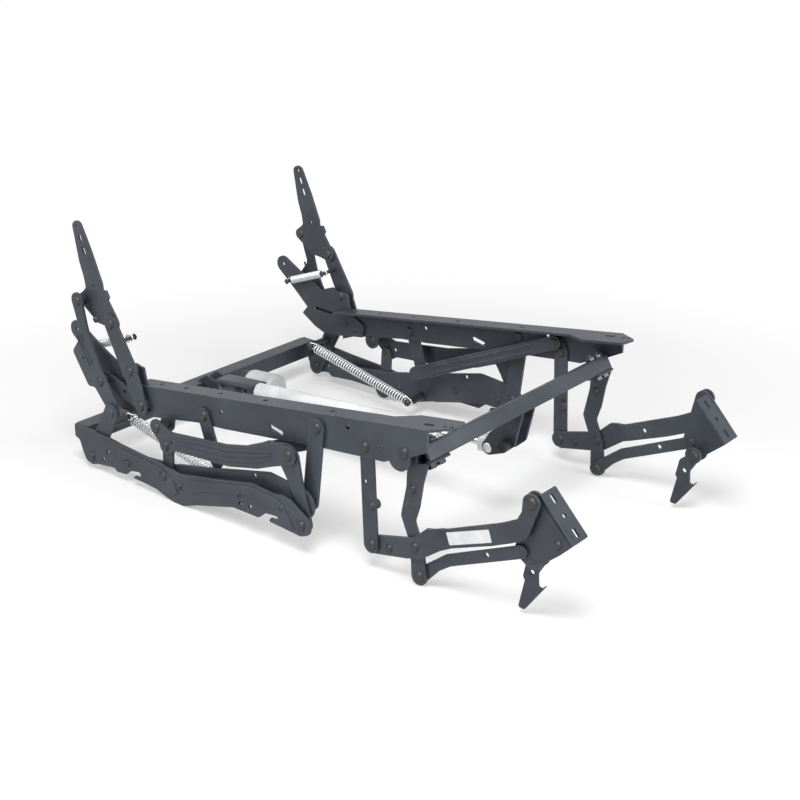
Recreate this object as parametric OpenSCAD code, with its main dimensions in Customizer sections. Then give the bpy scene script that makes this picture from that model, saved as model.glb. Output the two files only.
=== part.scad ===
// Recliner chair mechanism: two stamped side linkages joined by a front tube and a rear tube,
// with a linear actuator, four coil springs and two front leg claws.
// X runs forward to the footrest, Z is up, and the mechanism is symmetric about Y = 0.

/* [Frame and levels] */
// Height of the drawing plane origin above the floor, mm
floor_drop = 143; // [130:1:170]
// Distance from the drawing plane origin to the middle of the length, mm
mid_x = -14.5; // [-30:0.1:10]
// Distance from the centre plane to the middle of each side rail web, mm
rail_y = 240; // [180:1:320]
// Thickness of every stamped plate, mm
plate_t = 4; // [3:0.5:5]
// Air gap between neighbouring plates of the stack, mm
layer_gap = 0.5; // [0.3:0.1:1]

/* [Rivets and pins] */
// Diameter of the pivot pins, mm
pin_d = 10; // [8:0.5:11]
// Diameter of the pin heads, mm
head_d = 17; // [13:0.5:18]
// Height of the pin heads, mm
head_h = 3; // [2:0.25:3.25]
// Diameter of the small fixed rivets, mm
rivet_d = 7; // [5:0.5:8]
// Diameter of the small rivet heads, mm
rivet_head_d = 12; // [9:0.5:14]
// Radial running clearance of every pin in its hole, mm
run_gap = 0.05; // [0.03:0.01:0.1]
// Side clearance under a pin head, mm
head_gap = 0.1; // [0.05:0.05:0.2]
// Diameter of the small mounting holes, mm
screw_hole_d = 7; // [5:0.5:9]

/* [Link widths] */
// Width of the narrow links at their ends, mm
link_w = 22; // [19:0.5:26]
// Width of the lower footrest arm, mm
lower_arm_w = 20; // [18:0.5:22]
// Width of the ribbed drive link, mm
drive_w = 24; // [20:0.5:28]
// Width of the carrier link, mm
carrier_w = 27; // [22:0.5:30]

/* [Rails] */
// Slope of the top flange, rise over run
rail_slope = 0.14; // [0.1:0.01:0.2]
// Height of the flange top above the drawing plane origin at X = 0, mm
rail_top = 63; // [55:1:75]
// Rear end of the rail web, mm
rail_rear = -330; // [-345:1:-320]
// Front end of the rail web, mm
rail_front = 245; // [238:1:260]
// Width of the top flange measured inward from the web, mm
flange_w = 30; // [24:1:40]
// Front end of the wide seat tab on the flange, mm
tab_front = 272; // [262:1:290]
// Width of the wide seat tab measured inward from the web, mm
tab_w = 48; // [40:1:56]
// Diameter of the seat fixing holes in the flange, mm
seat_hole_d = 8; // [6:0.5:10]

/* [Pivot points] */
// Rear footrest link on the rail, x and z in mm
p_rear_top = [137, 43.5];
// Front footrest link on the rail
p_front_top = [205, 54];
// Rear link to footrest arm
p_rear_low = [144, -103.5];
// Front link to footrest arm
p_front_mid = [217, -84];
// Front link to lower arm
p_front_low = [221, -130];
// Footrest arm to footrest bracket
p_arm_tip = [398, 36.5];
// Lower arm to footrest bracket
p_low_tip = [383, -38.5];
// Claw on the footrest bracket
p_claw = [398, -48];
// Drive link on the rear footrest link
p_drive = [129, 60];
// Toggle link on the rail
p_toggle_top = [-174.5, 7];
// Toggle link to drive link
p_toggle_low = [-152, -61];
// Carrier link on the base
p_carrier_low = [39, -66];
// Carrier link on the rail
p_carrier_top = [54, 50];
// Back upright on the rail
p_upright = [-332, 40];
// Back upright to diagonal link
p_upright_low = [-311, -12];
// Back upright to blade
p_blade = [-369, 109];
// Blade to control link
p_blade_rear = [-434, 135];
// Control link to diagonal link
p_control_mid = [-394, 11];
// Control link to rear base link
p_control_low = [-368, -34];
// Rear base link on the base
p_base_rear = [-420, -122];
// Lever on the rail
p_lever_rear = [-262, -30];
// Lever to lever arm
p_lever_arm = [-243, -55];
// Lever arm on the base
p_arm_base = [-246, -105];
// Lever to end link
p_lever_front = [15, 3];
// End link on the base
p_end_base = [41, -96];
// Actuator on its rear bracket
p_motor = [-338, -67];
// Actuator rod on the clevis
p_clevis = [179, -23];

/* [Cross members] */
// Side of the square front tube, mm
tube_w = 27; // [22:0.5:30]
// Wall of the square front tube, mm
tube_wall = 2.5; // [1.5:0.25:4]
// Front tube centre, x and z in mm
tube_c = [222, 45];
// Length of the bent flange under each end of the front tube, mm
tube_flange_l = 44; // [36:1:52]
// Diameter of the tube bolts, mm
bolt_d = 8; // [6:0.5:8]
// Rear tube centre, x and z in mm
rear_tube_c = [-443, -88];
// Side of the square rear tube, mm
rear_tube_w = 28; // [22:1:34]

/* [Springs] */
// Outer diameter of the large springs, mm
spring_d = 17; // [14:0.5:19]
// Wire diameter of the large springs, mm
spring_wire = 2.4; // [1.8:0.1:2.6]
// Curls in each large spring
spring_n = 32; // [24:1:33]
// Distance from the centre plane to the large spring axis, mm
spring_y = 215; // [205:1:217]
// Rear pin of the large spring, x and z in mm
p_spring_rear = [-386, -61];
// Front pin of the large spring
p_spring_front = [-157, -112];
// Outer diameter of the small springs, mm
small_d = 14; // [12:0.5:15]
// Wire diameter of the small springs, mm
small_wire = 2; // [1.5:0.1:2.2]
// Curls in each small spring
small_n = 13; // [8:1:14]
// Rear pin of the small spring, x and z in mm
p_small_rear = [-444, 50];
// Front pin of the small spring
p_small_front = [-357, 81];

/* [Actuator] */
// Outer diameter of the actuator tube, mm
act_tube_d = 30; // [24:1:34]
// Length of the actuator tube in front of the motor, mm
act_tube_l = 310; // [290:5:320]
// Diameter of the extending rod, mm
rod_d = 13; // [10:0.5:18]
// Diameter of the drive motor, mm
motor_d = 44; // [38:1:48]
// Length of the drive motor, mm
motor_l = 67; // [55:1:75]
// Stroke held inside the tube at rest, mm
rod_inside = 110; // [100:5:150]

/* [Hidden] */

$fn = 48;
steel = [0.33, 0.345, 0.375];
dark = [0.16, 0.165, 0.18];
zinc = [0.75, 0.75, 0.74];
pitch = plate_t + layer_gap;
pin_r = pin_d / 2;
hole_r = pin_r + run_gap;
head_r = head_d / 2;
rivet_r = rivet_d / 2;
link_r = link_w / 2;
// How far the straight edges of a bar sit inside its round ends
seam = 0.05;
// Gap left where a piece rests on its neighbour
seat_gap = 0.3;
spring_pin_d = 8;
small_pin_d = 6;

// Middle of layer n of the plate stack, counted outward from the rail web
function ly(n) = rail_y + n * pitch;
// Inner and outer face of layer n
function yi(n) = ly(n) - plate_t / 2;
function yo(n) = ly(n) + plate_t / 2;
// Height of the flange top at x
function rail_z(x) = rail_top + rail_slope * x;
function unit(a) = [cos(a), sin(a)];
function ang(v) = atan2(v[1], v[0]);

// Moves the drawing plane to the floor and the middle of the length
module place() translate([-mid_x, 0, floor_drop]) children();
// Draws a part on the left side, or its mirror image on the right side
module side(s) place() mirror([0, s < 0 ? 1 : 0, 0]) children();
module both() {
    side(1) children();
    side(-1) children();
}

// Plates are drawn in x and z between the faces y0 and y1; $thick carries the thickness to the shapes
module plate(y0, y1) {
    $thick = y1 - y0;
    translate([0, y1, 0]) rotate([90, 0, 0]) union() children();
}
module layer(n) plate(yi(n), yo(n)) children();
module disc(p, r) translate([p[0], p[1], 0]) cylinder(r = r, h = $thick);
module sheet(points) linear_extrude($thick) polygon(points);

// A straight bar with round ends of radius r1 and r2
module bar(p, q, r1, r2) {
    a = ang(q - p);
    k = acos((r1 - r2) / norm(q - p));
    e1 = r1 - seam;
    e2 = r2 - seam;
    disc(p, r1);
    disc(q, r2);
    sheet([p + e1 * unit(a + k), q + e2 * unit(a + k), q + e2 * unit(a - k), p + e1 * unit(a - k)]);
}
module hole(p, r = hole_r) translate([p[0], p[1], -1]) cylinder(r = r, h = $thick + 2);
module slot(p, q, r) {
    deep = $thick + 2;
    translate([0, 0, -1]) {
        $thick = deep;
        bar(p, q, r, r);
    }
}

// A cylinder along y from y0 to y1 at the point p
module rod_y(p, y0, y1, d) translate([p[0], y1, p[1]]) rotate([90, 0, 0]) cylinder(d = d, h = y1 - y0);
// A domed head that starts at y and stands out in direction s
module head(p, y, s, d = head_d, h = head_h)
    translate([p[0], y, p[1]]) rotate([-90 * s, 0, 0]) cylinder(d1 = d, d2 = d - 4, h = h);
// A pivot pin through the faces y0 and y1, with a head on each side that is asked for
module pin(p, y0, y1, inner = true, outer = true, d = pin_d, hd = head_d) {
    rod_y(p, y0 - (inner ? head_gap : 0), y1 + (outer ? head_gap : 0), d);
    if (inner) head(p, y0 - head_gap, -1, hd);
    if (outer) head(p, y1 + head_gap, 1, hd);
}
// A spacer collar on a pin
module collar(p, y0, y1, d = 16) rod_y(p, y0 + head_gap, y1 - head_gap, d);
module rivet(p, y0, y1) pin(p, y0, y1, d = rivet_d - 2 * run_gap, hd = rivet_head_d);

// Points where fixed rivets join plates
base_rivets = [[-212, -112], [-84, -84], [-330, -108], [4, -80]];
base_holes = [[-377, -102], [-265, -124], [-160, -104], [-20, -88]];
back_rivets = [[-318, -8], [-300, -18]];

// Side rail: web and top flange
module rail_web() {
    difference() {
        union() {
            sheet([[rail_rear, rail_z(rail_rear) - 2], [rail_rear, -41], [-302, -30], [-192, -10],
                [-136, -5], [64, 21], [150, 30], [172, 32], [196, 44], [214, 50], [rail_front, 66],
                [rail_front, rail_z(rail_front) - 2]]);
            disc([197, 44], 18);
            bar(p_lever_rear, [p_lever_rear[0] + 6, 0], 14, 14);
        }
        hole(p_rear_top);
        hole(p_front_top);
        hole(p_toggle_top);
        hole(p_carrier_top);
        hole(p_lever_rear);
        slot([-37, 25], [-18, 21], 4);
        hole([-140, 21], screw_hole_d / 2);
        hole([108, 64], screw_hole_d / 2);
        for (p = back_rivets) hole(p, rivet_r);
    }
}
module rail_flange() {
    a = atan(rail_slope);
    difference() {
        translate([0, 0, rail_top - plate_t]) rotate([0, -a, 0]) linear_extrude(plate_t) difference() {
            union() {
                translate([rail_rear / cos(a), yo(0) - flange_w])
                    square([(rail_front - rail_rear) / cos(a) - 20, flange_w]);
                polygon([[168, yo(0)], [168, yo(0) - flange_w], [200, yo(0) - tab_w],
                    [tab_front, yo(0) - tab_w], [tab_front + 6, yo(0) - tab_w / 2], [rail_front, yo(0)]]);
            }
            for (x = [-289, -233, -157, -63, 68]) translate([x, yo(0) - 16]) circle(d = seat_hole_d);
            for (x = [rail_front + 14, rail_front + 24])
                translate([x, yo(0) - tab_w + 26]) circle(d = screw_hole_d);
            translate([228, yo(0) - 20]) circle(3.5);
            translate([240, yo(0) - 20]) circle(3.5);
            translate([228, yo(0) - 23.5]) square([12, 7]);
        }
    }
}
module rail() color(steel) {
    layer(0) rail_web();
    difference() {
        rail_flange();
        // Slot that the back plate stands in
        translate([rail_rear - 1, yi(-1) - seat_gap, 0]) cube([26, plate_t + 2 * seat_gap, 60]);
    }
}

// Plate riveted inside the rear of the rail, with the rear stop lobe
module back_plate() color(steel) layer(-1) difference() {
    union() {
        bar([-470, 74], [-424, 42], 15, 20);
        sheet([[-438, 28], [-412, 4], [-424, -10], [-394, -29], [-373, -37], [-337, -35],
            [-280, -26], [-276, -4], [-308, 12], [-314, 46], [-359, 50], [-378, 42], [-412, 58]]);
    }
    hole(p_upright);
    hole(p_small_rear, small_pin_d / 2);
    hole([-470, 74], screw_hole_d / 2);
    for (p = back_rivets) hole(p, rivet_r);
    slot([-396, 6], [-350, 4], 3);
}
module rail_pins() color(dark) {
    pin(p_rear_top, yi(-1), yo(0));
    pin(p_front_top, yi(-3), yo(0), inner = false);
    collar(p_front_top, yo(-3), yi(0));
    pin(p_toggle_top, yi(0), yo(1));
    pin(p_carrier_top, yi(0), yo(1));
    pin(p_upright, yi(-1), yo(2));
    collar(p_upright, yo(-1), yi(2));
    pin(p_lever_rear, yi(0), yo(5));
    collar(p_lever_rear, yo(0), yi(5));
    for (p = back_rivets) {
        rod_y(p, yi(-1), yo(0), rivet_d);
        head(p, yi(-1), -1, rivet_head_d, 2);
    }
    rod_y(p_small_rear, small_y - small_d / 2 - 1, yo(-1), small_pin_d - 2 * run_gap);
    head(p_small_rear, small_y - small_d / 2 - 1, -1, 10, 2);
}

// Base: outer and inner plates, rear tube and actuator bracket
module base_outline() {
    difference() {
        union() {
            bar([-438, -105], [-395, -108], 30, 24);
            sheet([[-464, -104], [-442, -floor_drop], [-428, -floor_drop], [-408, -130]]);
            bar([-395, -108], [-250, -113], 24, 27);
            bar([-250, -113], [-205, -122], 27, 21);
            sheet([[-206, -floor_drop], [-185, -137], [-93, -112], [-47, -112], [41, -113], [57, -105],
                [53, -84], [39, -75], [16, -63], [-22, -66], [-60, -63], [-138, -78], [-217, -94],
                [-250, -88]]);
            disc([40, -93], 20);
            disc([-214, 17 - floor_drop], 17);
        }
        hole(p_base_rear);
        hole(p_arm_base);
        hole(p_end_base);
        for (p = base_rivets) hole(p, rivet_r);
        for (p = base_holes) hole(p, screw_hole_d / 2);
    }
}
module base_plate() color(steel) {
    layer(6) base_outline();
    // Rear flange that closes the end of the rear tube
    translate([rear_tube_c[0] - 20, yo(6) - 40, 8 - floor_drop]) cube([plate_t, 40, 72]);
}
module inner_base_plate() color(steel) layer(3) difference() {
    union() {
        bar([-368, -116], [-320, -110], 12, 14);
        bar([-320, -110], [-222, -106], 14, 20);
        bar([-222, -104], [-130, -90], 20, 26);
        bar([-130, -90], [-30, -66], 26, 26);
        bar([-30, -66], [30, -70], 26, 24);
        disc([-248, -122], 17);
    }
    hole(p_carrier_low);
    hole([-61, -53], screw_hole_d / 2);
    for (p = base_rivets) hole(p, rivet_r);
    hole(p_spring_front, spring_pin_d / 2);
}
module rear_cross_tube() color(steel) {
    len = 2 * (yi(6) - seat_gap);
    place() translate([rear_tube_c[0], -len / 2, rear_tube_c[1]]) rotate([-90, 0, 0])
        linear_extrude(len) difference() {
            square(rear_tube_w, center = true);
            square(rear_tube_w - 2 * tube_wall, center = true);
        }
}
bracket_gap = 36;
module actuator_bracket() color(dark) place() {
    rear = rear_tube_c[0] + rear_tube_w / 2;
    for (s = [-1, 1]) {
        y0 = s > 0 ? bracket_gap / 2 : -bracket_gap / 2 - plate_t;
        plate(y0, y0 + plate_t) difference() {
            union() {
                bar([rear + 17, -84], p_motor, 17, 14);
                sheet([[rear, -101], [rear + 20, -101], [rear + 20, -67], [rear, -67]]);
            }
            hole(p_motor);
        }
    }
    translate([rear, -bracket_gap / 2 - plate_t, -101]) cube([plate_t, bracket_gap + 2 * plate_t, 34]);
}
module base_pins() color(dark) {
    both() {
        pin(p_base_rear, yi(5), yo(6));
        for (p = [p_end_base, p_arm_base]) {
            pin(p, yi(6), yo(6), inner = false);
            rod_y(p, yo(4) + seat_gap, yi(6) - head_gap, 16);
            rod_y(p, yo(4) + seat_gap, yi(6), pin_d);
        }
        pin(p_carrier_low, yi(1), yo(3), outer = false);
        collar(p_carrier_low, yo(1), yi(3));
        for (p = base_rivets) {
            rivet(p, yi(3), yo(6));
            collar(p, yo(3), yi(6), 13);
        }
        rod_y(p_spring_front, spring_y - 6, yo(3), spring_pin_d - 2 * run_gap);
        head(p_spring_front, spring_y - 6, -1, 13);
        rod_y(p_spring_front, spring_y + spring_d / 2 + 3, yi(3) - head_gap, 14);
    }
    place() rod_y(p_motor, -bracket_gap / 2 - plate_t, bracket_gap / 2 + plate_t, pin_d);
}

module carrier_link() color(steel) layer(1) difference() {
    bar(p_carrier_low, p_carrier_top, 14, carrier_w / 2);
    hole(p_carrier_low);
    hole(p_carrier_top);
}

// Long lever between the base plates
module lever() color(steel) layer(5) difference() {
    union() {
        bar(p_lever_rear, p_lever_arm, 13, 13);
        bar(p_lever_rear, [-225, -44], 13, 14);
        bar([-225, -44], [-110, -36], 14, 22);
        bar([-110, -36], [-40, -14], 22, 13);
        bar([-40, -14], p_lever_front, 13, 12);
    }
    hole(p_lever_rear);
    hole(p_lever_arm);
    hole(p_lever_front);
    hole([-180, -44], screw_hole_d / 2);
}
module lever_pins() color(dark) both() {
    pin(p_lever_arm, yi(4), yo(5), inner = false);
    pin(p_lever_front, yi(4), yo(5));
}
module lever_arm() color(steel) layer(4) difference() {
    bar(p_lever_arm, p_arm_base, 11, 11);
    hole(p_lever_arm);
}
module end_link() color(steel) layer(4) difference() {
    bar(p_lever_front, p_end_base, 12, 12);
    hole(p_lever_front);
}
module rear_base_link() color(steel) {
    layer(5) difference() {
        bar(p_control_low, p_base_rear, 14, 15);
        hole(p_base_rear);
    }
    head(p_control_low, yo(5) - 0.01, 1);
}

// Footrest linkage
elbow = [203, -45];
foot_r = p_front_low[1] + floor_drop;
module front_link() color(steel) {
    layer(-3) difference() {
        union() {
            bar(p_front_top, elbow, 12.5, link_r);
            bar(elbow, p_front_mid, link_r, link_r);
            bar(p_front_mid, p_front_low, link_r, foot_r);
            sheet([[p_front_top[0] - 6, 36], [214, 36], [tube_c[0] + tube_w / 2, tube_c[1] - tube_w / 2],
                [tube_c[0] + tube_w / 2, tube_c[1] - tube_w / 2 - 8], [elbow[0] + 8, -6]]);
        }
        hole(p_front_top);
        hole(p_front_mid);
        hole(p_front_low);
        hole([210, -1], rivet_r);
    }
    difference() {
        translate([tube_c[0] - tube_w / 2, yo(-3) - tube_flange_l, tube_c[1] - tube_w / 2 - plate_t])
            cube([tube_w, tube_flange_l, plate_t]);
        for (b = tube_bolt_y) translate([tube_c[0], b, 0]) cylinder(d = bolt_d + 1, h = 60);
    }
}
tube_bolt_y = [yo(-3) - tube_flange_l + 11, yo(-3) - tube_flange_l + 29];
module front_cross_tube() color(steel) place() {
    len = 2 * (yi(-3) - 0.5);
    difference() {
        translate([tube_c[0], -len / 2, tube_c[1]]) rotate([-90, 0, 0]) linear_extrude(len) difference() {
            square(tube_w, center = true);
            square(tube_w - 2 * tube_wall, center = true);
        }
        for (s = [-1, 1], b = tube_bolt_y) translate([tube_c[0], s * b, 0]) cylinder(d = bolt_d + 1, h = 90);
    }
}
module tube_bolts() color(dark) both() {
    low = tube_c[1] - tube_w / 2 - plate_t;
    top = tube_c[1] + tube_w / 2;
    for (b = tube_bolt_y) translate([tube_c[0], b, 0]) {
        translate([0, 0, low - 6]) cylinder(d = 13, h = 6, $fn = 6);
        translate([0, 0, low - 0.01]) cylinder(d = bolt_d, h = top - low + 5);
        translate([0, 0, top]) cylinder(d = 13, h = 4.5, $fn = 6);
    }
}
clevis_gap = 24;
rubber = [211, -8];
module clevis_bracket() color(dark) place() {
    low = tube_c[1] - tube_w / 2;
    for (s = [-1, 1]) {
        y0 = s > 0 ? clevis_gap / 2 : -clevis_gap / 2 - plate_t;
        plate(y0, y0 + plate_t) difference() {
            union() {
                sheet([[tube_c[0] - 14, low], [tube_c[0] + 14, low], rubber + [11, 0], p_clevis + [0, -11],
                    p_clevis + [-9, 6]]);
                disc(p_clevis, 11);
                disc(rubber, 11);
            }
            hole(p_clevis);
            hole(rubber, 4);
        }
    }
    translate([tube_c[0] - 13.5, -clevis_gap / 2, low - plate_t]) cube([27, clevis_gap, plate_t]);
}
module clevis_pin() color(zinc) place() {
    face = clevis_gap / 2;
    end = face + plate_t;
    rod_y(p_clevis, face, end + 3, pin_d - 2 * run_gap);
    rod_y(p_clevis, -end - 5, -face, pin_d - 2 * run_gap);
    head(p_clevis, end + 3, 1, 14, 2.5);
    rod_y(rubber, -end - 9, -face, 8 - 2 * run_gap);
    rod_y(rubber, -end - 9, -end - head_gap, 18);
}
module front_link_pins() color(dark) both() {
    pin(p_front_mid, yi(-3), yo(-2), hd = 15);
    pin(p_front_low, yi(-4), yo(-3));
    rivet([210, -1], yi(-3), yo(-3));
}
module pivot_washers() color("red") both()
    plate(yo(-3) + 0.05, yi(-2) - 0.05) difference() {
        disc(p_front_mid, 10);
        hole(p_front_mid, pin_r + 0.1);
    }
stop_p = [146, -43];
module rear_link() color(steel) layer(-1) difference() {
    union() {
        bar(p_drive, p_rear_top, 11, 12);
        bar(p_rear_top, p_rear_low, 12, 12);
    }
    hole(p_drive);
    hole(p_rear_top);
    hole(p_rear_low);
    hole(stop_p, rivet_r);
    hole([131, -12], screw_hole_d / 2);
}
module rear_link_pins() color(dark) both() {
    rod_y(p_rear_low, yi(-1), yo(-1) + head_gap, pin_d);
    head(p_rear_low, yo(-1) + head_gap, 1);
    pin(p_drive, yi(-3), yo(-1), outer = false);
    collar(p_drive, yo(-3), yi(-1));
    rivet(stop_p, yi(-1), yo(-1));
    rod_y(stop_p, yi(-1) - 7, yi(-1) - head_gap, 15);
}
// Footrest arm: stamped plate that steps inward near its tip
module ottoman_arm() color(steel) difference() {
    intersection() {
        plate(yi(-3), yo(-2)) union() {
            bar(p_rear_low, p_front_mid, 13, 13);
            sheet([[149, -97], [203, -82], [237, -50], [266, -43], [352, -6], [378, 8], [386, 24], [409, 31],
                [393, 10], [372, -18], [345, -36], [262, -74], [228, -99], [203, -106], [146, -118]]);
            disc(p_arm_tip, 12.5);
        }
        plate_step();
    }
    for (p = [p_rear_low, p_front_mid, p_arm_tip]) rod_y(p, yi(-4), yo(-1), 2 * hole_r);
    rod_y([173, -101], yi(-4), yo(-1), rivet_d);
    rod_y([300, -44], yi(-4), yo(-1), screw_hole_d);
}
// The arm steps inward by one layer just in front of its middle pivot
step_start = 46;
step_end = 58;
module plate_step() {
    a = ang(p_arm_tip - p_front_mid);
    translate([p_front_mid[0], 0, p_front_mid[1]]) rotate([0, -a, 0]) translate([0, 0, -200])
        linear_extrude(400) polygon([[-200, yi(-2)], [step_start, yi(-2)], [step_end, yi(-3)], [300, yi(-3)],
            [300, yo(-3)], [step_end + 1, yo(-3)], [step_start + 1, yo(-2)], [-200, yo(-2)]]);
}
module arm_pins() color(dark) both() {
    rod_y(p_rear_low, yi(-2) - head_gap, yo(-2), pin_d);
    head(p_rear_low, yi(-2) - head_gap, -1);
    pin(p_arm_tip, yi(-5), yo(-3), inner = false);
    collar(p_arm_tip, yo(-5), yi(-3));
    rivet([173, -101], yi(-2), yo(-2));
}
module lower_arm() color(steel) layer(-4) difference() {
    union() {
        bar(p_front_low, [262, -106], lower_arm_w / 2, lower_arm_w / 2);
        bar([262, -106], p_low_tip, lower_arm_w / 2, lower_arm_w / 2);
    }
    hole(p_front_low);
    hole([330, -68], screw_hole_d / 2);
}
// Footrest bracket: plate and bent flange for the footrest board
bend_a = [385, 30];
bend_b = [437, -25];
flange_in = 36;
module footrest_bracket() color(steel) {
    layer(-5) difference() {
        union() {
            bar(p_arm_tip, p_low_tip, 13, 13);
            sheet([[384, 38], [404, 47], [456, -8], [437, -27], [404, -60], [376, -50]]);
            disc(p_claw, 13);
        }
        hole(p_arm_tip);
        hole(p_low_tip);
        hole(p_claw);
        hole([434, -13], rivet_r);
    }
    // Flange along the outer edge
    a = ang([456, -8] - [404, 47]);
    difference() {
        translate([404, yo(-5) - flange_in, 47]) rotate([0, -a, 0]) translate([0, 0, -plate_t])
            cube([norm([456, -8] - [404, 47]), flange_in, plate_t]);
        for (k = [0.15, 0.5, 0.85])
            translate([404 + 52 * k, yo(-5) - flange_in / 2 - 4, 47 - 55 * k]) rotate([0, 90 - a, 0])
                translate([0, 0, -10]) cylinder(d = screw_hole_d, h = 20);
    }
}
module bracket_pins() color(dark) both() {
    rod_y(p_low_tip, yi(-5) - head_gap, yo(-5), pin_d - 2 * run_gap);
    head(p_low_tip, yi(-5) - head_gap, -1);
    pin(p_claw, yi(-9), yo(-5), outer = false);
    collar(p_claw, yo(-9), yi(-5));
    rivet([434, -13], yi(-5), yo(-5));
}
module claw() color(steel) layer(-9) difference() {
    union() {
        bar(p_claw, [384, -84], 14, 13);
        sheet([[371, -84], [366, -93], [360, -136], [368, -139], [404, -94], [391, -101], [397, -84]]);
    }
    hole(p_claw);
    hole([386, -76], screw_hole_d / 2);
}
module drive_link() color(dark) {
    a = ang(p_drive - p_toggle_low);
    layer(-3) difference() {
        bar(p_toggle_low, p_drive, drive_w / 2, 11);
        hole(p_drive);
    }
    // Raised ribs along the link
    for (k = [-1, 1])
        translate([-60, yi(-3) - 1.5, -21.5]) rotate([0, -a, 0]) translate([-60, 0, k * 5.5 - 1.5])
            cube([220, 2, 3]);
}
module toggle_link() color(steel) {
    layer(1) difference() {
        bar(p_toggle_top, p_toggle_low, 12, 12);
        hole(p_toggle_top);
    }
    rod_y(p_toggle_low, yo(-3) + 0.3, yi(1), 18);
}

// Back linkage
module upright() color(steel) layer(2) difference() {
    union() {
        bar(p_upright, p_blade, 18, 14);
        bar(p_upright, p_upright_low, 16, 14);
    }
    hole(p_upright);
    hole(p_blade);
    hole(p_upright_low);
    hole(p_small_front, 3);
}
module upright_pins() color(dark) both() {
    pin(p_blade, yi(1), yo(2));
    pin(p_upright_low, yi(1), yo(2), inner = false);
    rod_y(p_small_front, small_y - small_d / 2 - 1, yo(2), small_pin_d - 2 * run_gap);
    head(p_small_front, small_y - small_d / 2 - 1, -1, 10, 2);
}
module blade() color(steel) layer(1) difference() {
    union() {
        bar(p_blade_rear, p_blade, 13, 13);
        bar([-436, 247], [-411, 166], 12, 19);
        sheet([[-387, 170], [-386, 158], [-378, 158], [-373, 149], [-377, 143], [-357, 112], [-371, 97],
            [-398, 92], [-417, 90], [-430, 96], [-446, 124], [-434, 148], [-427, 152], [-431, 166]]);
    }
    hole(p_blade);
    hole(p_blade_rear);
    hole([-436, 248], screw_hole_d / 2 - 0.5);
    slot([-433, 238], [-431, 230], 3.5);
    slot([-428, 218], [-426, 210], 3.5);
    hole([-414, 161], screw_hole_d / 2);
}
module control_link() color(steel) layer(4) difference() {
    union() {
        bar(p_blade_rear, [-424, 72], 13, 14);
        sheet([[-441, 100], [-412, 100], [-409, 73], [-396, 42], [-382, 22], [-382, 0], [-408, -2],
            [-423, -4], [-461, 47], [-457, 70]]);
        bar(p_control_mid, p_control_low, 13, 13);
        bar(p_control_low, p_spring_rear, 13, 12);
    }
    hole(p_blade_rear);
    hole(p_control_mid);
    hole(p_control_low);
    hole(p_spring_rear, spring_pin_d / 2);
}
module control_pins() color(dark) both() {
    pin(p_blade_rear, yi(1), yo(4));
    collar(p_blade_rear, yo(1), yi(4));
    pin(p_control_mid, yi(4), yo(4), inner = false);
    rod_y(p_control_mid, yo(1) + seat_gap, yi(4) - head_gap, 16);
    rod_y(p_control_mid, yo(1) + seat_gap, yi(4), pin_d);
    pin(p_control_low, yi(4), yo(4), inner = false, outer = false);
    rod_y(p_spring_rear, spring_y - 6, yo(4), spring_pin_d - 2 * run_gap);
    rod_y(p_spring_rear, spring_y + spring_d / 2 + 3, yi(4) - head_gap, 14);
    head(p_spring_rear, spring_y - 6, -1, 13);
}
small_y = yi(-1) - small_d / 2 - 4;
module diagonal_link() color(steel) layer(1) difference() {
    bar(p_control_mid, p_upright_low, 12, 12);
    hole(p_upright_low);
    hole([-352, 0], screw_hole_d / 2);
}

// Coil springs: one round wire wound along the line between two pins
rings = 8;
sides = 6;
// Points of the wire centre line: curls, then a hook over the pin at each end
function coil_mid(i, n, r, len) = [len * i / (n * rings) - len / 2, r * cos(360 * i / rings),
    r * sin(360 * i / rings)];
module coil(n, d, wire, len) {
    r = (d - wire) / 2;
    count = n * rings;
    mid = [for (i = [0:count]) coil_mid(i, n, r, len)];
    function tangent(i) = let (v = mid[min(i + 1, count)] - mid[max(i - 1, 0)]) v / norm(v);
    pts = [for (i = [0:count]) let (t = tangent(i), c = mid[i], o = [0, c[1], c[2]] / r, b = cross(t, o))
        for (k = [0:sides - 1]) c + wire / 2 * (cos(360 * k / sides) * o + sin(360 * k / sides) * b)];
    faces = concat([[for (k = [0:sides - 1]) k]],
        [for (i = [0:count - 1], k = [0:sides - 1], h = [0, 1]) let (a = i * sides + k,
            b = i * sides + (k + 1) % sides, c = a + sides, e = b + sides) h == 0 ? [a, c, b] : [b, c, e]],
        [[for (k = [sides - 1:-1:0]) count * sides + k]]);
    polyhedron(pts, faces);
}
module spring_between(p, q, y, n, d, wire, inset) {
    a = ang(q - p);
    m = (p + q) / 2;
    translate([m[0], y, m[1]]) rotate([0, -a, 0]) coil(n, d, wire, norm(q - p) - 2 * inset);
}
// Distance from a pin's axis to the end of its spring, which hooks on the pin
spring_inset = spring_pin_d / 2 + spring_wire / 2 + seat_gap;
small_inset = small_pin_d / 2 + small_wire / 2 + seat_gap;
function curl_gap(p, q, n, wire, inset) = (norm(q - p) - 2 * inset) / n - wire;
echo(large_curl_gap = curl_gap(p_spring_rear, p_spring_front, spring_n, spring_wire, spring_inset));
echo(small_curl_gap = curl_gap(p_small_rear, p_small_front, small_n, small_wire, small_inset));
module large_spring() color(zinc)
    spring_between(p_spring_rear, p_spring_front, spring_y, spring_n, spring_d, spring_wire, spring_inset);
module small_spring() color(zinc)
    spring_between(p_small_rear, p_small_front, small_y, small_n, small_d, small_wire, small_inset);

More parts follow.
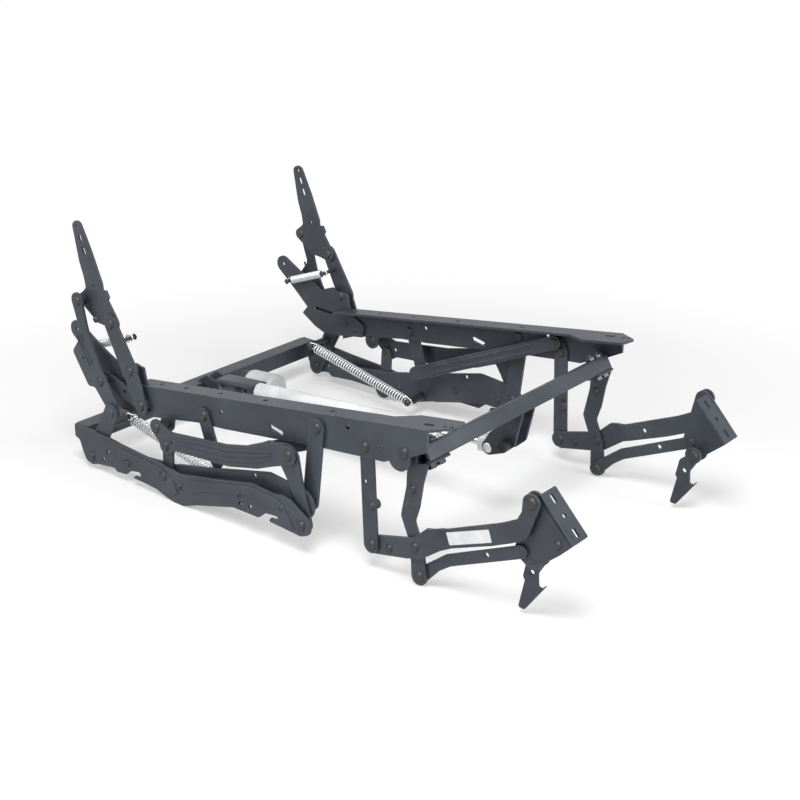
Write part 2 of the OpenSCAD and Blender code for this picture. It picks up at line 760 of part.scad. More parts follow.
// Actuator between the rear bracket and the clevis
act_a = ang(p_clevis - p_motor);
act_len = norm(p_clevis - p_motor);
module along() place() translate([p_motor[0], 0, p_motor[1]]) rotate([0, -act_a, 0]) children();
gear_l = 40;
tube_x0 = gear_l + motor_l;
tube_x1 = tube_x0 + act_tube_l;
eye_r = 11;
module rod_x(x0, x1, d) translate([x0, 0, 0]) rotate([0, 90, 0]) cylinder(d = d, h = x1 - x0);
module cross_hole(x) translate([x, 30, 0]) rotate([90, 0, 0]) cylinder(r = hole_r, h = 60);
module actuator_motor() color("silver") along() {
    difference() {
        union() {
            translate([0, 15, 0]) rotate([90, 0, 0]) cylinder(r = 14, h = 30);
            translate([0, -15, -14]) cube([gear_l, 30, 28]);
        }
        cross_hole(0);
    }
    rod_x(gear_l - 1, gear_l + motor_l - 6, motor_d);
    rod_x(gear_l + motor_l - 7, gear_l + motor_l, motor_d - 6);
}
module actuator_tube() color("white") along() difference() {
    rod_x(tube_x0, tube_x1, act_tube_d);
    rod_x(tube_x0 + 10, tube_x1 + 1, rod_d + 0.3);
}
module actuator_rod() color(zinc) along() {
    rod_x(tube_x1 - rod_inside, act_len - 22, rod_d);
    difference() {
        union() {
            translate([act_len - 24, -10, -eye_r]) cube([24, 20, 2 * eye_r]);
            translate([act_len, 10, 0]) rotate([90, 0, 0]) cylinder(r = eye_r, h = 20);
        }
        cross_hole(act_len);
    }
}

side(1) base_plate();  // base_plate_left
side(-1) base_plate();  // base_plate_right
side(1) inner_base_plate();  // inner_base_plate_left
side(-1) inner_base_plate();  // inner_base_plate_right
rear_cross_tube();
actuator_bracket();
base_pins();
side(1) carrier_link();  // carrier_link_left
side(-1) carrier_link();  // carrier_link_right
side(1) rail();  // rail_left
side(-1) rail();  // rail_right
side(1) back_plate();  // back_plate_left
side(-1) back_plate();  // back_plate_right
both() rail_pins();
side(1) lever();  // lever_left
side(-1) lever();  // lever_right
lever_pins();
both() lever_arm();  // lever_arms
both() end_link();  // end_links
both() rear_base_link();  // rear_base_links
side(1) front_link();  // front_link_left
side(-1) front_link();  // front_link_right
front_cross_tube();
clevis_bracket();
tube_bolts();
clevis_pin();
front_link_pins();
pivot_washers();
side(1) rear_link();  // rear_link_left
side(-1) rear_link();  // rear_link_right
rear_link_pins();
side(1) ottoman_arm();  // ottoman_arm_left
side(-1) ottoman_arm();  // ottoman_arm_right
arm_pins();
side(1) lower_arm();  // lower_arm_left
side(-1) lower_arm();  // lower_arm_right
side(1) footrest_bracket();  // footrest_bracket_left
side(-1) footrest_bracket();  // footrest_bracket_right
bracket_pins();
side(1) claw();  // claw_left
side(-1) claw();  // claw_right
side(1) drive_link();  // drive_link_left
side(-1) drive_link();  // drive_link_right
both() toggle_link();  // toggle_links
side(1) upright();  // upright_left
side(-1) upright();  // upright_right
upright_pins();
side(1) blade();  // blade_left
side(-1) blade();  // blade_right
side(1) control_link();  // control_link_left
side(-1) control_link();  // control_link_right
control_pins();
both() diagonal_link();  // diagonal_links
side(1) large_spring();  // large_spring_left
side(-1) large_spring();  // large_spring_right
both() small_spring();  // small_springs
actuator_motor();
actuator_tube();
actuator_rod();
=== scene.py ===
# A recliner chair mechanism: stamped steel side linkages, two cross tubes, a linear actuator
# and coil springs.
import math
import bmesh
import bpy
from mathutils import Matrix, Vector


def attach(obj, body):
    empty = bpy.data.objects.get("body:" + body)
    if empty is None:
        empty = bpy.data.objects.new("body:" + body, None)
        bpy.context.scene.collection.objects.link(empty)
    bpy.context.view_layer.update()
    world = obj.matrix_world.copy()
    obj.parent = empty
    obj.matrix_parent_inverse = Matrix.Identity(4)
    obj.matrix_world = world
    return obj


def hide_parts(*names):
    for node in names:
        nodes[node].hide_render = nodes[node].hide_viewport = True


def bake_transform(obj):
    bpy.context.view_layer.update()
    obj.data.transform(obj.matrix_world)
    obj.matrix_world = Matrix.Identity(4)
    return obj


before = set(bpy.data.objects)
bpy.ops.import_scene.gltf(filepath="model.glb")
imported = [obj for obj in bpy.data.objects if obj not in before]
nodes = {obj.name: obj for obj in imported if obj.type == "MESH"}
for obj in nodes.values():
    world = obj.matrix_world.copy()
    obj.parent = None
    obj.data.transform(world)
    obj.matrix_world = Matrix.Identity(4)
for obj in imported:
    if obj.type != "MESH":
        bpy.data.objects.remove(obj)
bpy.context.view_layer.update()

# ---------------------------------------------------------------------------------------------
# Camera
# The photograph is taken from the front right of the mechanism, a little above it, with a
# medium lens. The place is worked out from the pivots of the two sides and the rail lines.
DRAWING_X = 0.0145          # the drawing plane's origin in the model
DRAWING_Z = 0.143
MM = 0.001


def in_scene(name, data):
    """A new object in the scene."""
    item = bpy.data.objects.new(name, data)
    bpy.context.scene.collection.objects.link(item)
    return item


camera_data = bpy.data.cameras.new("photo_camera")
camera_data.sensor_width = 36.0
camera_data.lens = 62.44
camera_data.clip_end = 60.0
camera = in_scene("photo_camera", camera_data)
camera.location = (1.25284 + DRAWING_X, -1.51981, 0.80327 + DRAWING_Z)
look = Vector((DRAWING_X, 0.0, DRAWING_Z)) - camera.location
camera.rotation_euler = look.to_track_quat("-Z", "Y").to_euler()
bpy.context.scene.camera = camera
bpy.context.scene.view_settings.view_transform = "Standard"


# ---------------------------------------------------------------------------------------------
# Powder coat
# Every stamped link, plate and tube is dipped and powder coated in a dark slate grey. The coat
# has a fine orange peel, soft tonal patches, thin bright wear on its edges and a little dust.
def new_material(name):
    """A material with nothing but its output, and a helper that adds a node with set values."""
    material = bpy.data.materials.new(name)
    material.use_nodes = True
    tree = material.node_tree
    tree.nodes.clear()
    output = tree.nodes.new("ShaderNodeOutputMaterial")

    def add(kind, **values):
        item = tree.nodes.new("ShaderNode" + kind)
        for key, value in values.items():
            target = key.replace("_", " ")
            if target in item.inputs:
                if hasattr(value, "is_output"):
                    tree.links.new(value, item.inputs[target])
                else:
                    item.inputs[target].default_value = value
            else:
                setattr(item, key, value)
        return item

    def surface(shader):
        tree.links.new(shader.outputs[0], output.inputs["Surface"])

    return material, tree, add, surface


def ramp(add, tree, value, stops):
    """A colour ramp on value; stops are (position, grey level) pairs."""
    item = add("ValToRGB")
    tree.links.new(value, item.inputs["Fac"])
    points = item.color_ramp.elements
    while len(points) < len(stops):
        points.new(0.5)
    for point, (place, level) in zip(points, stops):
        point.position = place
        point.color = (level, level, level, 1.0)
    return item.outputs["Color"]


def mix(add, tree, factor, a, b, blend="MIX"):
    """Mixes two colours; each of the three may be a value or a socket."""
    item = add("Mix", data_type="RGBA", blend_type=blend)
    for index, value in ((0, factor), (6, a), (7, b)):
        if hasattr(value, "is_output"):
            tree.links.new(value, item.inputs[index])
        else:
            item.inputs[index].default_value = value
    return item.outputs[2]


def edge_mask(add, tree, radius, low, high):
    """White where the surface turns sharply, within radius of an edge."""
    rounded_edge = add("Bevel", samples=6, Radius=radius)
    geometry = add("NewGeometry")
    facing = add("VectorMath", operation="DOT_PRODUCT")
    tree.links.new(rounded_edge.outputs["Normal"], facing.inputs[0])
    tree.links.new(geometry.outputs["Normal"], facing.inputs[1])
    return ramp(add, tree, facing.outputs["Value"], [(low, 1.0), (high, 0.0)])


def powder_coat(name, colour, roughness, worn=0.55):
    """A fine peeled coat with soft patches, dust in its scuffs and wear along its edges."""
    material, tree, add, surface = new_material(name)
    coords = add("TexCoord").outputs["Object"]
    patches = add("TexNoise", Vector=coords, Scale=11.0, Detail=4.0, Roughness=0.55).outputs[0]
    specks = add("TexNoise", Vector=coords, Scale=190.0, Detail=3.0, Roughness=0.6).outputs[0]
    peel = add("TexNoise", Vector=coords, Scale=620.0, Detail=2.0, Roughness=0.5).outputs[0]
    scuffs = add("TexNoise", Vector=coords, Scale=46.0, Detail=6.0, Roughness=0.7,
                 Distortion=1.4).outputs[0]
    dark = tuple(0.74 * c for c in colour) + (1.0,)
    light = tuple(1.20 * c for c in colour) + (1.0,)
    base = mix(add, tree, ramp(add, tree, patches, [(0.34, 0.0), (0.68, 1.0)]), dark, light)
    dusty = tuple(min(1.0, 1.5 * c + 0.03) for c in colour) + (1.0,)
    base = mix(add, tree, ramp(add, tree, scuffs, [(0.60, 0.0), (0.74, 0.35)]), base, dusty)
    edges = edge_mask(add, tree, 0.0011, 0.90, 0.985)
    broken = ramp(add, tree, specks, [(0.42, 0.0), (0.62, worn)])
    wear = mix(add, tree, 1.0, edges, broken, "MULTIPLY")
    base = mix(add, tree, wear, base, (0.30, 0.31, 0.34, 1.0))
    rough = ramp(add, tree, patches, [(0.3, roughness - 0.06), (0.7, roughness + 0.06)])
    rounded_edge = add("Bevel", samples=6, Radius=0.0009)
    bump = add("Bump", Strength=0.35, Distance=0.00012, Height=peel)
    tree.links.new(rounded_edge.outputs["Normal"], bump.inputs["Normal"])
    shader = add("BsdfPrincipled", Base_Color=base, Roughness=rough)
    shader.inputs["Specular IOR Level"].default_value = 0.30
    shader.inputs["Metallic"].default_value = 0.0
    tree.links.new(bump.outputs["Normal"], shader.inputs["Normal"])
    surface(shader)
    return material


def finish(material, names):
    """Gives the CAD nodes of these names one material."""
    for name in names:
        slots = nodes[name].data.materials
        slots.clear()
        slots.append(material)


def sides(*names):
    """The names of the left and the right node of each pair."""
    return [f"{name}_{side}" for name in names for side in ("left", "right")]


slate = powder_coat("slate_powder_coat", (0.041, 0.048, 0.061), 0.42)
finish(slate, sides("rail", "back_plate", "ottoman_arm", "upright", "drive_link", "carrier_link",
                    "inner_base_plate")
       + ["toggle_links", "lever_arms", "rear_base_links", "diagonal_links", "rear_cross_tube"])


# ---------------------------------------------------------------------------------------------
# Base plates
# Each side stands on a blanked steel plate with two hooks in its lower edge, screw holes and two
# pressed fields that stiffen it. The press leaves a small round on every edge.
PLATE = 0.004               # sheet thickness
LAYER = 0.0045              # sheet thickness and the air to the next plate
RAIL_Y = 0.240              # middle of the rail's web
EDGE = 0.0005               # round on a stamped edge


def inner_face(layer):
    """The inner and the outer face of a layer of plates, from the middle; rails are layer 0."""
    return RAIL_Y + layer * LAYER - PLATE / 2


def outer_face(layer):
    return RAIL_Y + layer * LAYER + PLATE / 2


def arc(centre, radius, start, end, steps=14):
    """Points on a round corner or end, in mm, from one angle in degrees to another."""
    turn = [math.radians(start + (end - start) * i / steps) for i in range(steps + 1)]
    return [(centre[0] + radius * math.cos(t), centre[1] + radius * math.sin(t)) for t in turn]


def rounded(points):
    """A closed outline in mm, with each corner that has a third value rounded by that radius."""
    result = []
    for i, corner in enumerate(points):
        if len(corner) == 2:
            result.append(corner)
            continue
        here = Vector(corner[:2])
        back = Vector(points[i - 1][:2]) - here
        ahead = Vector(points[(i + 1) % len(points)][:2]) - here
        half = back.angle(ahead) / 2
        cut = min(corner[2] / math.tan(half), 0.46 * back.length, 0.46 * ahead.length)
        a, b = here + back.normalized() * cut, here + ahead.normalized() * cut
        for k in range(7):
            t = k / 6
            result.append(tuple((1 - t) ** 2 * a + 2 * t * (1 - t) * here + t * t * b))
    return result


def round_hole(centre, radius):
    return arc(centre, radius, 0, 345, 23)


def long_hole(start, end, radius):
    a = math.degrees(math.atan2(end[1] - start[1], end[0] - start[0]))
    return arc(start, radius, a + 90, a + 270, 8) + arc(end, radius, a - 90, a + 90, 8)


def baked(holder):
    """The plain mesh that an object's curve or modifiers give."""
    bpy.context.view_layer.update()
    return bpy.data.meshes.new_from_object(
        holder.evaluated_get(bpy.context.evaluated_depsgraph_get()))


def blank(name, outlines, thickness, matrix, material, slot, body, node=None, edge=EDGE, steps=1):
    """A flat blank with rounded edges; the first outline is its rim, the rest are holes."""
    curve = bpy.data.curves.new(name, "CURVE")
    curve.dimensions = "2D"
    curve.fill_mode = "BOTH"
    curve.extrude = max(thickness / 2 - edge, 0.00001)
    curve.bevel_depth = edge
    curve.bevel_resolution = steps
    curve.offset = -edge
    for outline in outlines:
        spline = curve.splines.new("POLY")
        spline.points.add(len(outline) - 1)
        for point, (u, v) in zip(spline.points, outline):
            point.co = (u * MM, v * MM, 0.0, 1.0)
        spline.use_cyclic_u = True
    holder = in_scene(name + "_curve", curve)
    mesh = baked(holder)
    bpy.data.objects.remove(holder)
    return piece_from(name, mesh, matrix, material, body, node)


def piece_from(name, mesh, matrix, material, body, node=None):
    """Closes and places a mesh as a piece that rides on a body and may stand for a CAD node."""
    form = bmesh.new()
    form.from_mesh(mesh)
    bmesh.ops.remove_doubles(form, verts=form.verts, dist=0.000002)
    bmesh.ops.transform(form, matrix=matrix, verts=form.verts)
    bmesh.ops.recalc_face_normals(form, faces=form.faces)
    form.to_mesh(mesh)
    form.free()
    mesh.name = name
    mesh.materials.clear()
    mesh.materials.append(material)
    piece = in_scene(name, mesh)
    if body:
        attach(piece, body)
    if node:
        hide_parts(node)
    return piece


def bent_bar(*stations):
    """The outline of a bar that bends at each station; a station is (x, z, half width)."""
    points = [Vector(p[:2]) for p in stations]
    runs = [(b - a).normalized() for a, b in zip(points, points[1:])]
    left, right = [], []
    for i in range(1, len(points) - 1):
        across = Vector((-runs[i - 1][1] - runs[i][1], runs[i - 1][0] + runs[i][0])).normalized()
        reach = stations[i][2] / max(0.5, across.dot(Vector((-runs[i][1], runs[i][0]))))
        left.append(tuple(points[i] + across * reach) + (16,))
        right.append(tuple(points[i] - across * reach) + (16,))
    first, last = (math.degrees(math.atan2(run[1], run[0])) for run in (runs[0], runs[-1]))
    return rounded(arc(points[0], stations[0][2], first + 90, first + 270) + right
                   + arc(points[-1], stations[-1][2], last - 90, last + 90) + left[::-1])


def in_model(point, y=0.0):
    """A point (x, z) of the drawing plane in mm, at distance y, in the model's metres."""
    return (point[0] * MM + DRAWING_X, y, point[1] * MM + DRAWING_Z)


def standing(y, s):
    """Places the drawing plane, x and z, at distance y from the middle, on side s."""
    return Matrix.Translation((DRAWING_X, s * y, DRAWING_Z)) @ Matrix.Rotation(math.pi / 2, 4, "X")


SIDES = (("left", 1), ("right", -1))


def side_blank(name, outlines, y0, y1, body, node=None, **shape):
    """A coated blank on each side, between two faces; {} in the node's name is for the side."""
    for side, s in SIDES:
        blank(f"{name}_{side}", outlines, y1 - y0, standing((y0 + y1) / 2, s), slate, "grey_paint",
              body, node and node.format(side), **shape)


base_rim = rounded([
    (-457, -74, 3), (-458, -96, 3), (-447, -100, 6), (-441, -118, 8), (-434, -132, 12),
    (-420, -136, 12), (-404, -131, 8), (-364, -126, 4), (-358, -131, 3), (-336, -129, 4),
    (-325, -120, 5), (-305, -116, 2), (-300, -119, 1.5), (-302, -124, 1.5), (-316, -126, 2),
    (-319, -130, 1), (-292, -131, 12), (-265, -133, 12), (-242, -140, 8), (-225, -142.9, 4),
    (-205, -142.9, 5), (-177, -133, 16), (-95, -110, 16), (-43, -110, 6), (-28, -98, 4),
    (-5, -96, 2), (-3, -101, 2), (-19, -103, 2), (-22, -109, 2), (40, -113, 12),
    (59, -105, 12), (58, -84, 14), (39, -73, 14), (22, -62, 9), (5, -59, 8), (-9, -62, 8),
    (-55, -59, 14), (-119, -73, 20), (-209, -91, 16), (-253, -86, 16), (-344, -80, 16),
    (-372, -77, 12)])
base_holes = [round_hole(p, 3.5) for p in
              ((-377, -102), (-391, -118), (-178, -98), (-80, -99), (-60, -98), (-265, -122))]
base_rivets = ((-212, -112), (-84, -84), (-330, -108), (4, -80))


def pivot_holes(*centres):
    """The holes that the pivots turn in."""
    return [round_hole(centre, 5.1) for centre in centres]


P_BASE_REAR = (-420, -122)  # a pivot's x and z on the drawing plane, in mm
P_ARM_BASE = (-246, -105)
P_END_BASE = (41, -96)
side_blank("base_side", [base_rim] + base_holes + pivot_holes(P_BASE_REAR, P_ARM_BASE, P_END_BASE)
           + [round_hole(p, 3.6) for p in base_rivets],
           inner_face(6), outer_face(6), "base", node="base_plate_{}")
rear_field = rounded([(-347, -86, 6), (-256, -92, 14), (-226, -104, 16), (-214, -124, 4),
                      (-228, -133, 5), (-246, -131, 12), (-268, -122, 14), (-292, -110, 14),
                      (-330, -101, 8), (-352, -112, 6)])
front_field = rounded([(-196, -97, 4), (-119, -78, 16), (-56, -64, 14), (-8, -67, 12),
                       (10, -75, 8), (30, -106, 3), (18, -108, 3), (-4, -85, 10), (-52, -78, 14),
                       (-120, -93, 16), (-186, -113, 4)])
FIELD = 0.0020              # height of a pressed field
for name, outlines in (("base_rear_field", [rear_field, round_hole(P_ARM_BASE, 7.4)]),
                       ("base_front_field", [front_field])):
    side_blank(name, outlines, outer_face(6) - FIELD, outer_face(6) + FIELD, "base",
               edge=FIELD - 0.0001, steps=4)

# ---------------------------------------------------------------------------------------------
# Back blades
# A long blanked steel blade stands up at each side and plugs into the chair back. It is thin at
# its tip, with two long holes, and wide at the two pivots that turn it.
P_BLADE = (-369, 109)
P_BLADE_REAR = (-434, 135)
blade_rim = rounded(
    arc((-435, 247.5), 11.5, 168, 18, 12)
    + [(-406, 214, 30), (-387, 168, 2), (-386.5, 158, 1), (-378, 159, 2), (-372.5, 148.5, 2),
       (-376, 143.5, 2)]
    + arc(P_BLADE, 14, 35, -70, 10)
    + [(-389, 101, 12), (-403, 102, 8), (-417, 111, 6)]
    + arc(P_BLADE_REAR, 10.5, 250, 110, 8)
    + [(-426, 154, 8), (-429, 171, 20), (-437, 195, 40)])
side_blank("back_blade", [blade_rim, round_hole((-435, 250.5), 2.7),
                          long_hole((-430.8, 235.8), (-428.6, 230), 3.1),
                          long_hole((-424.4, 216.5), (-421.8, 210), 3.1),
                          round_hole((-406.5, 161), 2.4)] + pivot_holes(P_BLADE, P_BLADE_REAR),
           inner_face(1), outer_face(1), "blades", node="blade_{}")

# ---------------------------------------------------------------------------------------------
# Control links
# A cranked steel link joins each blade to the base. It is a narrow bar with two pressed ribs
# above its middle pivot, and a short foot below it carries the large spring's rear pin.
P_CONTROL_MID = (-394, 11)
P_CONTROL_LOW = (-368, -34)
P_SPRING_REAR = (-386, -61)
control_rim = rounded(
    arc(P_BLADE_REAR, 13, 200, -20)
    + [(-416, 100, 14), (-409, 73, 12), (-396, 42, 12), (-381, 20, 8), (-357, -18, 8)]
    + arc(P_CONTROL_LOW, 13, 10, -60, 6) + arc(P_SPRING_REAR, 12, -30, -200, 12)
    + [(-384, -30, 8), (-408, -2, 8), (-423, -4, 8), (-456, 48, 8), (-430, 80, 10),
       (-437, 100, 10)])
side_blank("control_link_plate",
           [control_rim] + pivot_holes(P_BLADE_REAR, P_CONTROL_MID, P_CONTROL_LOW)
           + [round_hole(P_SPRING_REAR, 4.1), round_hole((-431, 41), 2.2)],
           inner_face(4), outer_face(4), "control_links", node="control_link_{}")
for number, shift in ((1, -3.5), (2, 3.5)):
    side_blank(f"control_link_rib_{number}",
               [bent_bar((-437 + shift, 78 + shift / 2, 1.8), (-428 + shift, 58 + shift / 2, 2.2),
                         (-414 + shift, 36 + shift / 2, 1.8))],
               outer_face(4) - 0.0015, outer_face(4) + 0.0015, "control_links", edge=0.0014,
               steps=3)

# ---------------------------------------------------------------------------------------------
# Front links and front tube
# A long joggled link hangs from each rail and carries the footrest. Its edge is bent inward
# under the square front tube, which is turned a little on its own axis and bolted at each end.
TUBE_CENTRE = (222, 49)
TUBE_TURN = 30.0
TUBE_HALF = 11.5            # half the tube's side, in mm


def on_tube(u, v):
    """A point of the drawing plane from the tube's own axes, in mm."""
    t = math.radians(TUBE_TURN)
    return (TUBE_CENTRE[0] + u * math.cos(t) - v * math.sin(t),
            TUBE_CENTRE[1] + u * math.sin(t) + v * math.cos(t))


P_FRONT_TOP = (205, 54)
P_FRONT_MID = (217, -84)
P_FRONT_LOW = (221, -130)
link_rim = rounded(
    arc(P_FRONT_TOP, 12.5, 215, 8, 14)
    + [(217.4, 38, 2), on_tube(5, -TUBE_HALF) + (1,), on_tube(6, -TUBE_HALF - 4) + (1,),
       (227, 10, 12), (221, -26, 10), (213.5, -49, 12), (228, -84, 20)]
    + arc(P_FRONT_LOW, 12.9, 0, -180, 14)
    + [(206, -86, 20), (189.5, -46, 12), (199, 0, 20), (200.5, 28, 10)])
side_blank("front_link_plate", [link_rim] + pivot_holes(P_FRONT_TOP, P_FRONT_MID, P_FRONT_LOW),
           inner_face(-3), outer_face(-3), "front_links", node="front_link_{}")
flange_rim = rounded([on_tube(-TUBE_HALF, -TUBE_HALF - 4) + (1,),
                      on_tube(TUBE_HALF, -TUBE_HALF - 4) + (1,),
                      on_tube(TUBE_HALF, -TUBE_HALF), on_tube(-TUBE_HALF, -TUBE_HALF)])
side_blank("front_link_flange", [flange_rim], outer_face(-3) - 0.044, inner_face(-3) + 0.001,
           "front_links")
TUBE_WALL = 2.5
square_corners = ((-1, -1), (1, -1), (1, 1), (-1, 1))
tube_rims = [rounded([on_tube(a * half, b * half) + (r,) for a, b in square_corners])
             for half, r in ((TUBE_HALF, 2.5), (TUBE_HALF - TUBE_WALL, 1.0))]
tube_length = 2 * (inner_face(-3) - 0.0005)
blank("front_tube", tube_rims, tube_length, standing(0.0, 1), slate, "grey_paint", "front_links",
      "front_cross_tube")

# ---------------------------------------------------------------------------------------------
# Rear links and footrest arms
# A straight blanked link hangs behind each front link. The footrest arm between them steps
# inward and broadens at its tip, drawn as a plate of its own that the plain arm lies in.
P_DRIVE = (129, 60)
P_REAR_TOP = (137, 43.5)
P_REAR_LOW = (144, -103.5)
P_ARM_TIP = (398, 36.5)
rear_rim = rounded(arc(P_DRIVE, 11, 206, 26, 12) + arc(P_REAR_TOP, 12, 20, 0, 3)
                   + arc((143, -104), 12.5, 0, -180, 14) + [(125.2, 36, 6)])
side_blank("rear_link_plate",
           [rear_rim] + pivot_holes(P_DRIVE, P_REAR_TOP, P_REAR_LOW)
           + [round_hole((146, -43), 3.6), round_hole((134, -10), 3.0)],
           inner_face(-1), outer_face(-1), "rear_links", node="rear_link_{}")
arm_tip_rim = rounded([(275, -42, 1), (352, -8, 20), (378, 5, 6), (384.5, 17, 5)]
                      + arc(P_ARM_TIP, 12.5, 190, -30, 14)
                      + [(400, 3, 20), (393, -15, 10), (373, -27, 8), (341, -42, 20),
                         (275, -68, 1)])
side_blank("footrest_arm_tip",
           [arm_tip_rim] + pivot_holes(P_ARM_TIP) + [round_hole((300, -44), 3.6)],
           inner_face(-3) - 0.00005, outer_face(-3) + 0.00008, "ottoman_arms", edge=0.00005)

# ---------------------------------------------------------------------------------------------
# Lower footrest arms
# A bent steel bar runs behind each footrest arm. It is pinned to the foot of the front link and
# to the footrest bracket.
P_LOW_TIP = (383, -38.5)
side_blank("lower_footrest_arm",
           [bent_bar(P_FRONT_LOW + (11,), (247, -106, 8), (267, -91, 8.5), P_LOW_TIP + (9,))]
           + pivot_holes(P_FRONT_LOW) + [round_hole((330, -61), 3.4)],
           inner_face(-4), outer_face(-4), "lower_arms", node="lower_arm_{}")

# ---------------------------------------------------------------------------------------------
# Levers and end links
# A long stamped lever lies above each base plate, stiffened by three pressed ribs, and a bent
# end link joins its front to the base.
P_LEVER_REAR = (-262, -30)
P_LEVER_FRONT = (15, 3)
P_LEVER_ARM = (-243, -55)
lever_rim = rounded(
    arc(P_LEVER_REAR, 13, 215, 60, 10)
    + [(-228, -29, 20), (-110, -15, 24), (-58, -3, 20), (-22, 16, 12)]
    + arc(P_LEVER_FRONT, 14, 100, -75, 12)
    + [(-14, -22, 8), (-46, -35, 20), (-106, -49, 24), (-222, -58, 10)]
    + arc(P_LEVER_ARM, 13, -60, -190, 8))
side_blank("lever_plate",
           [lever_rim] + pivot_holes(P_LEVER_REAR, P_LEVER_FRONT, P_LEVER_ARM)
           + [round_hole((-226, -45), 3.2)],
           inner_face(5), outer_face(5), "levers", node="lever_{}")
for number, lift in ((1, 8.5), (2, 0.5), (3, -8.0)):
    side_blank(f"lever_rib_{number}",
               [bent_bar((-212, -42 + 0.6 * lift, 1.8), (-178, -38 + lift, 2.3),
                         (-108, -31 + lift, 2.5), (-52, -17 + lift, 2.3),
                         (-18, -6 + 0.6 * lift, 1.8))],
               outer_face(5) - 0.0012, outer_face(5) + 0.0012, "levers", edge=0.0011, steps=3)
end_rim = rounded([(-18, -8, 8), (-16, 14, 10), (14, 19, 14), (30, 8, 14), (36, -28, 20)]
                  + arc(P_END_BASE, 12, 10, -170) + [(22, -62, 20), (7, -34, 14), (-6, -14, 8)])
side_blank("end_link_plate", [end_rim] + pivot_holes(P_LEVER_FRONT, P_END_BASE),
           inner_face(4), outer_face(4), "end_links", node="end_links")

# ---------------------------------------------------------------------------------------------
# Claws
# A hooked steel stop plate hangs on a pin of each footrest bracket and catches when the
# footrest folds.
P_CLAW = (398, -48)
claw_rim = rounded(arc(P_CLAW, 13, -60, 200, 16)
                   + [(377, -60, 6), (372, -86, 4), (375, -91, 3), (366, -134, 4), (376, -135, 4),
                      (410, -87, 2), (401, -95, 1.5), (396, -94, 3), (395, -75, 8)])
side_blank("claw_plate",
           [claw_rim] + pivot_holes(P_CLAW) + [round_hole((386, -76), 3.5)],
           inner_face(-9), outer_face(-9), "claws", node="claw_{}")

# ---------------------------------------------------------------------------------------------
# Footrest brackets
# A short plate at the tip of the two footrest arms, with a broad flange for the footrest board.
# The flange has a long screw hole near each end and a round one between them.
bracket_rim = rounded(arc(P_ARM_TIP, 13, 169, 50, 10) + [(456, -8, 1), (437, -27, 3)]
                      + arc(P_CLAW, 13, -5, -120, 10) + arc(P_LOW_TIP, 13, -112, -191, 8))
side_blank("bracket_plate",
           [bracket_rim] + pivot_holes(P_ARM_TIP, P_LOW_TIP, P_CLAW),
           inner_face(-5), outer_face(-5), "footrest_brackets", node="footrest_bracket_{}")
FLANGE_IN = 36.0
flange_start, flange_end = Vector((404, 47)), Vector((456, -8))
along_flange = (flange_end - flange_start).normalized()
flange_length = (flange_end - flange_start).length
for side, s in SIDES:
    x_axis = Vector((along_flange[0], 0.0, along_flange[1]))
    y_axis = Vector((0.0, 1.0, 0.0))
    z_axis = x_axis.cross(y_axis)
    turned = Matrix((x_axis, y_axis, z_axis)).transposed().to_4x4()
    start = Vector(in_model(flange_start))
    matrix = Matrix.Translation(start - z_axis * PLATE / 2) @ turned
    near, far = s * outer_face(-5) * 1000, s * (outer_face(-5) * 1000 - FLANGE_IN)
    middle = s * (outer_face(-5) * 1000 - 0.55 * FLANGE_IN)
    rim = rounded([(0, near, 1), (flange_length, near, 1), (flange_length, far, 3), (0, far, 3)])
    holes = [long_hole((k * flange_length - 4, middle), (k * flange_length + 4, middle), 3.2)
             for k in (0.17, 0.83)] + [round_hole((flange_length / 2, middle), 3.4)]
    blank(f"bracket_flange_{side}", [rim] + holes, PLATE, matrix, slate, "grey_paint",
          "footrest_brackets")

# ---------------------------------------------------------------------------------------------
# Sticker
# A small blank white paper sticker, glued to the outer face of the near footrest arm. Its
# paper is a little rubbed.
paper, tree, add, surface = new_material("sticker_paper")
coords = add("TexCoord").outputs["Object"]
fibres = add("TexNoise", Vector=coords, Scale=900.0, Detail=3.0).outputs[0]
rubbed = add("TexNoise", Vector=coords, Scale=60.0, Detail=4.0).outputs[0]
tone = mix(add, tree, ramp(add, tree, rubbed, [(0.4, 0.0), (0.7, 1.0)]),
           (0.70, 0.71, 0.72, 1.0), (0.60, 0.60, 0.60, 1.0))
bump = add("Bump", Strength=0.2, Distance=0.00005, Height=fibres)
shader = add("BsdfPrincipled", Base_Color=tone)
shader.inputs["Roughness"].default_value = 0.55
tree.links.new(bump.outputs["Normal"], shader.inputs["Normal"])
surface(shader)
sticker_rim = rounded([(267, -47, 1), (335, -20, 1), (341, -37, 1), (273, -64, 1)])
blank("blank_sticker", [sticker_rim], 0.00024, standing(outer_face(-3) + 0.00013, -1), paper,
      "white_tube", "ottoman_arms", edge=0.00005)


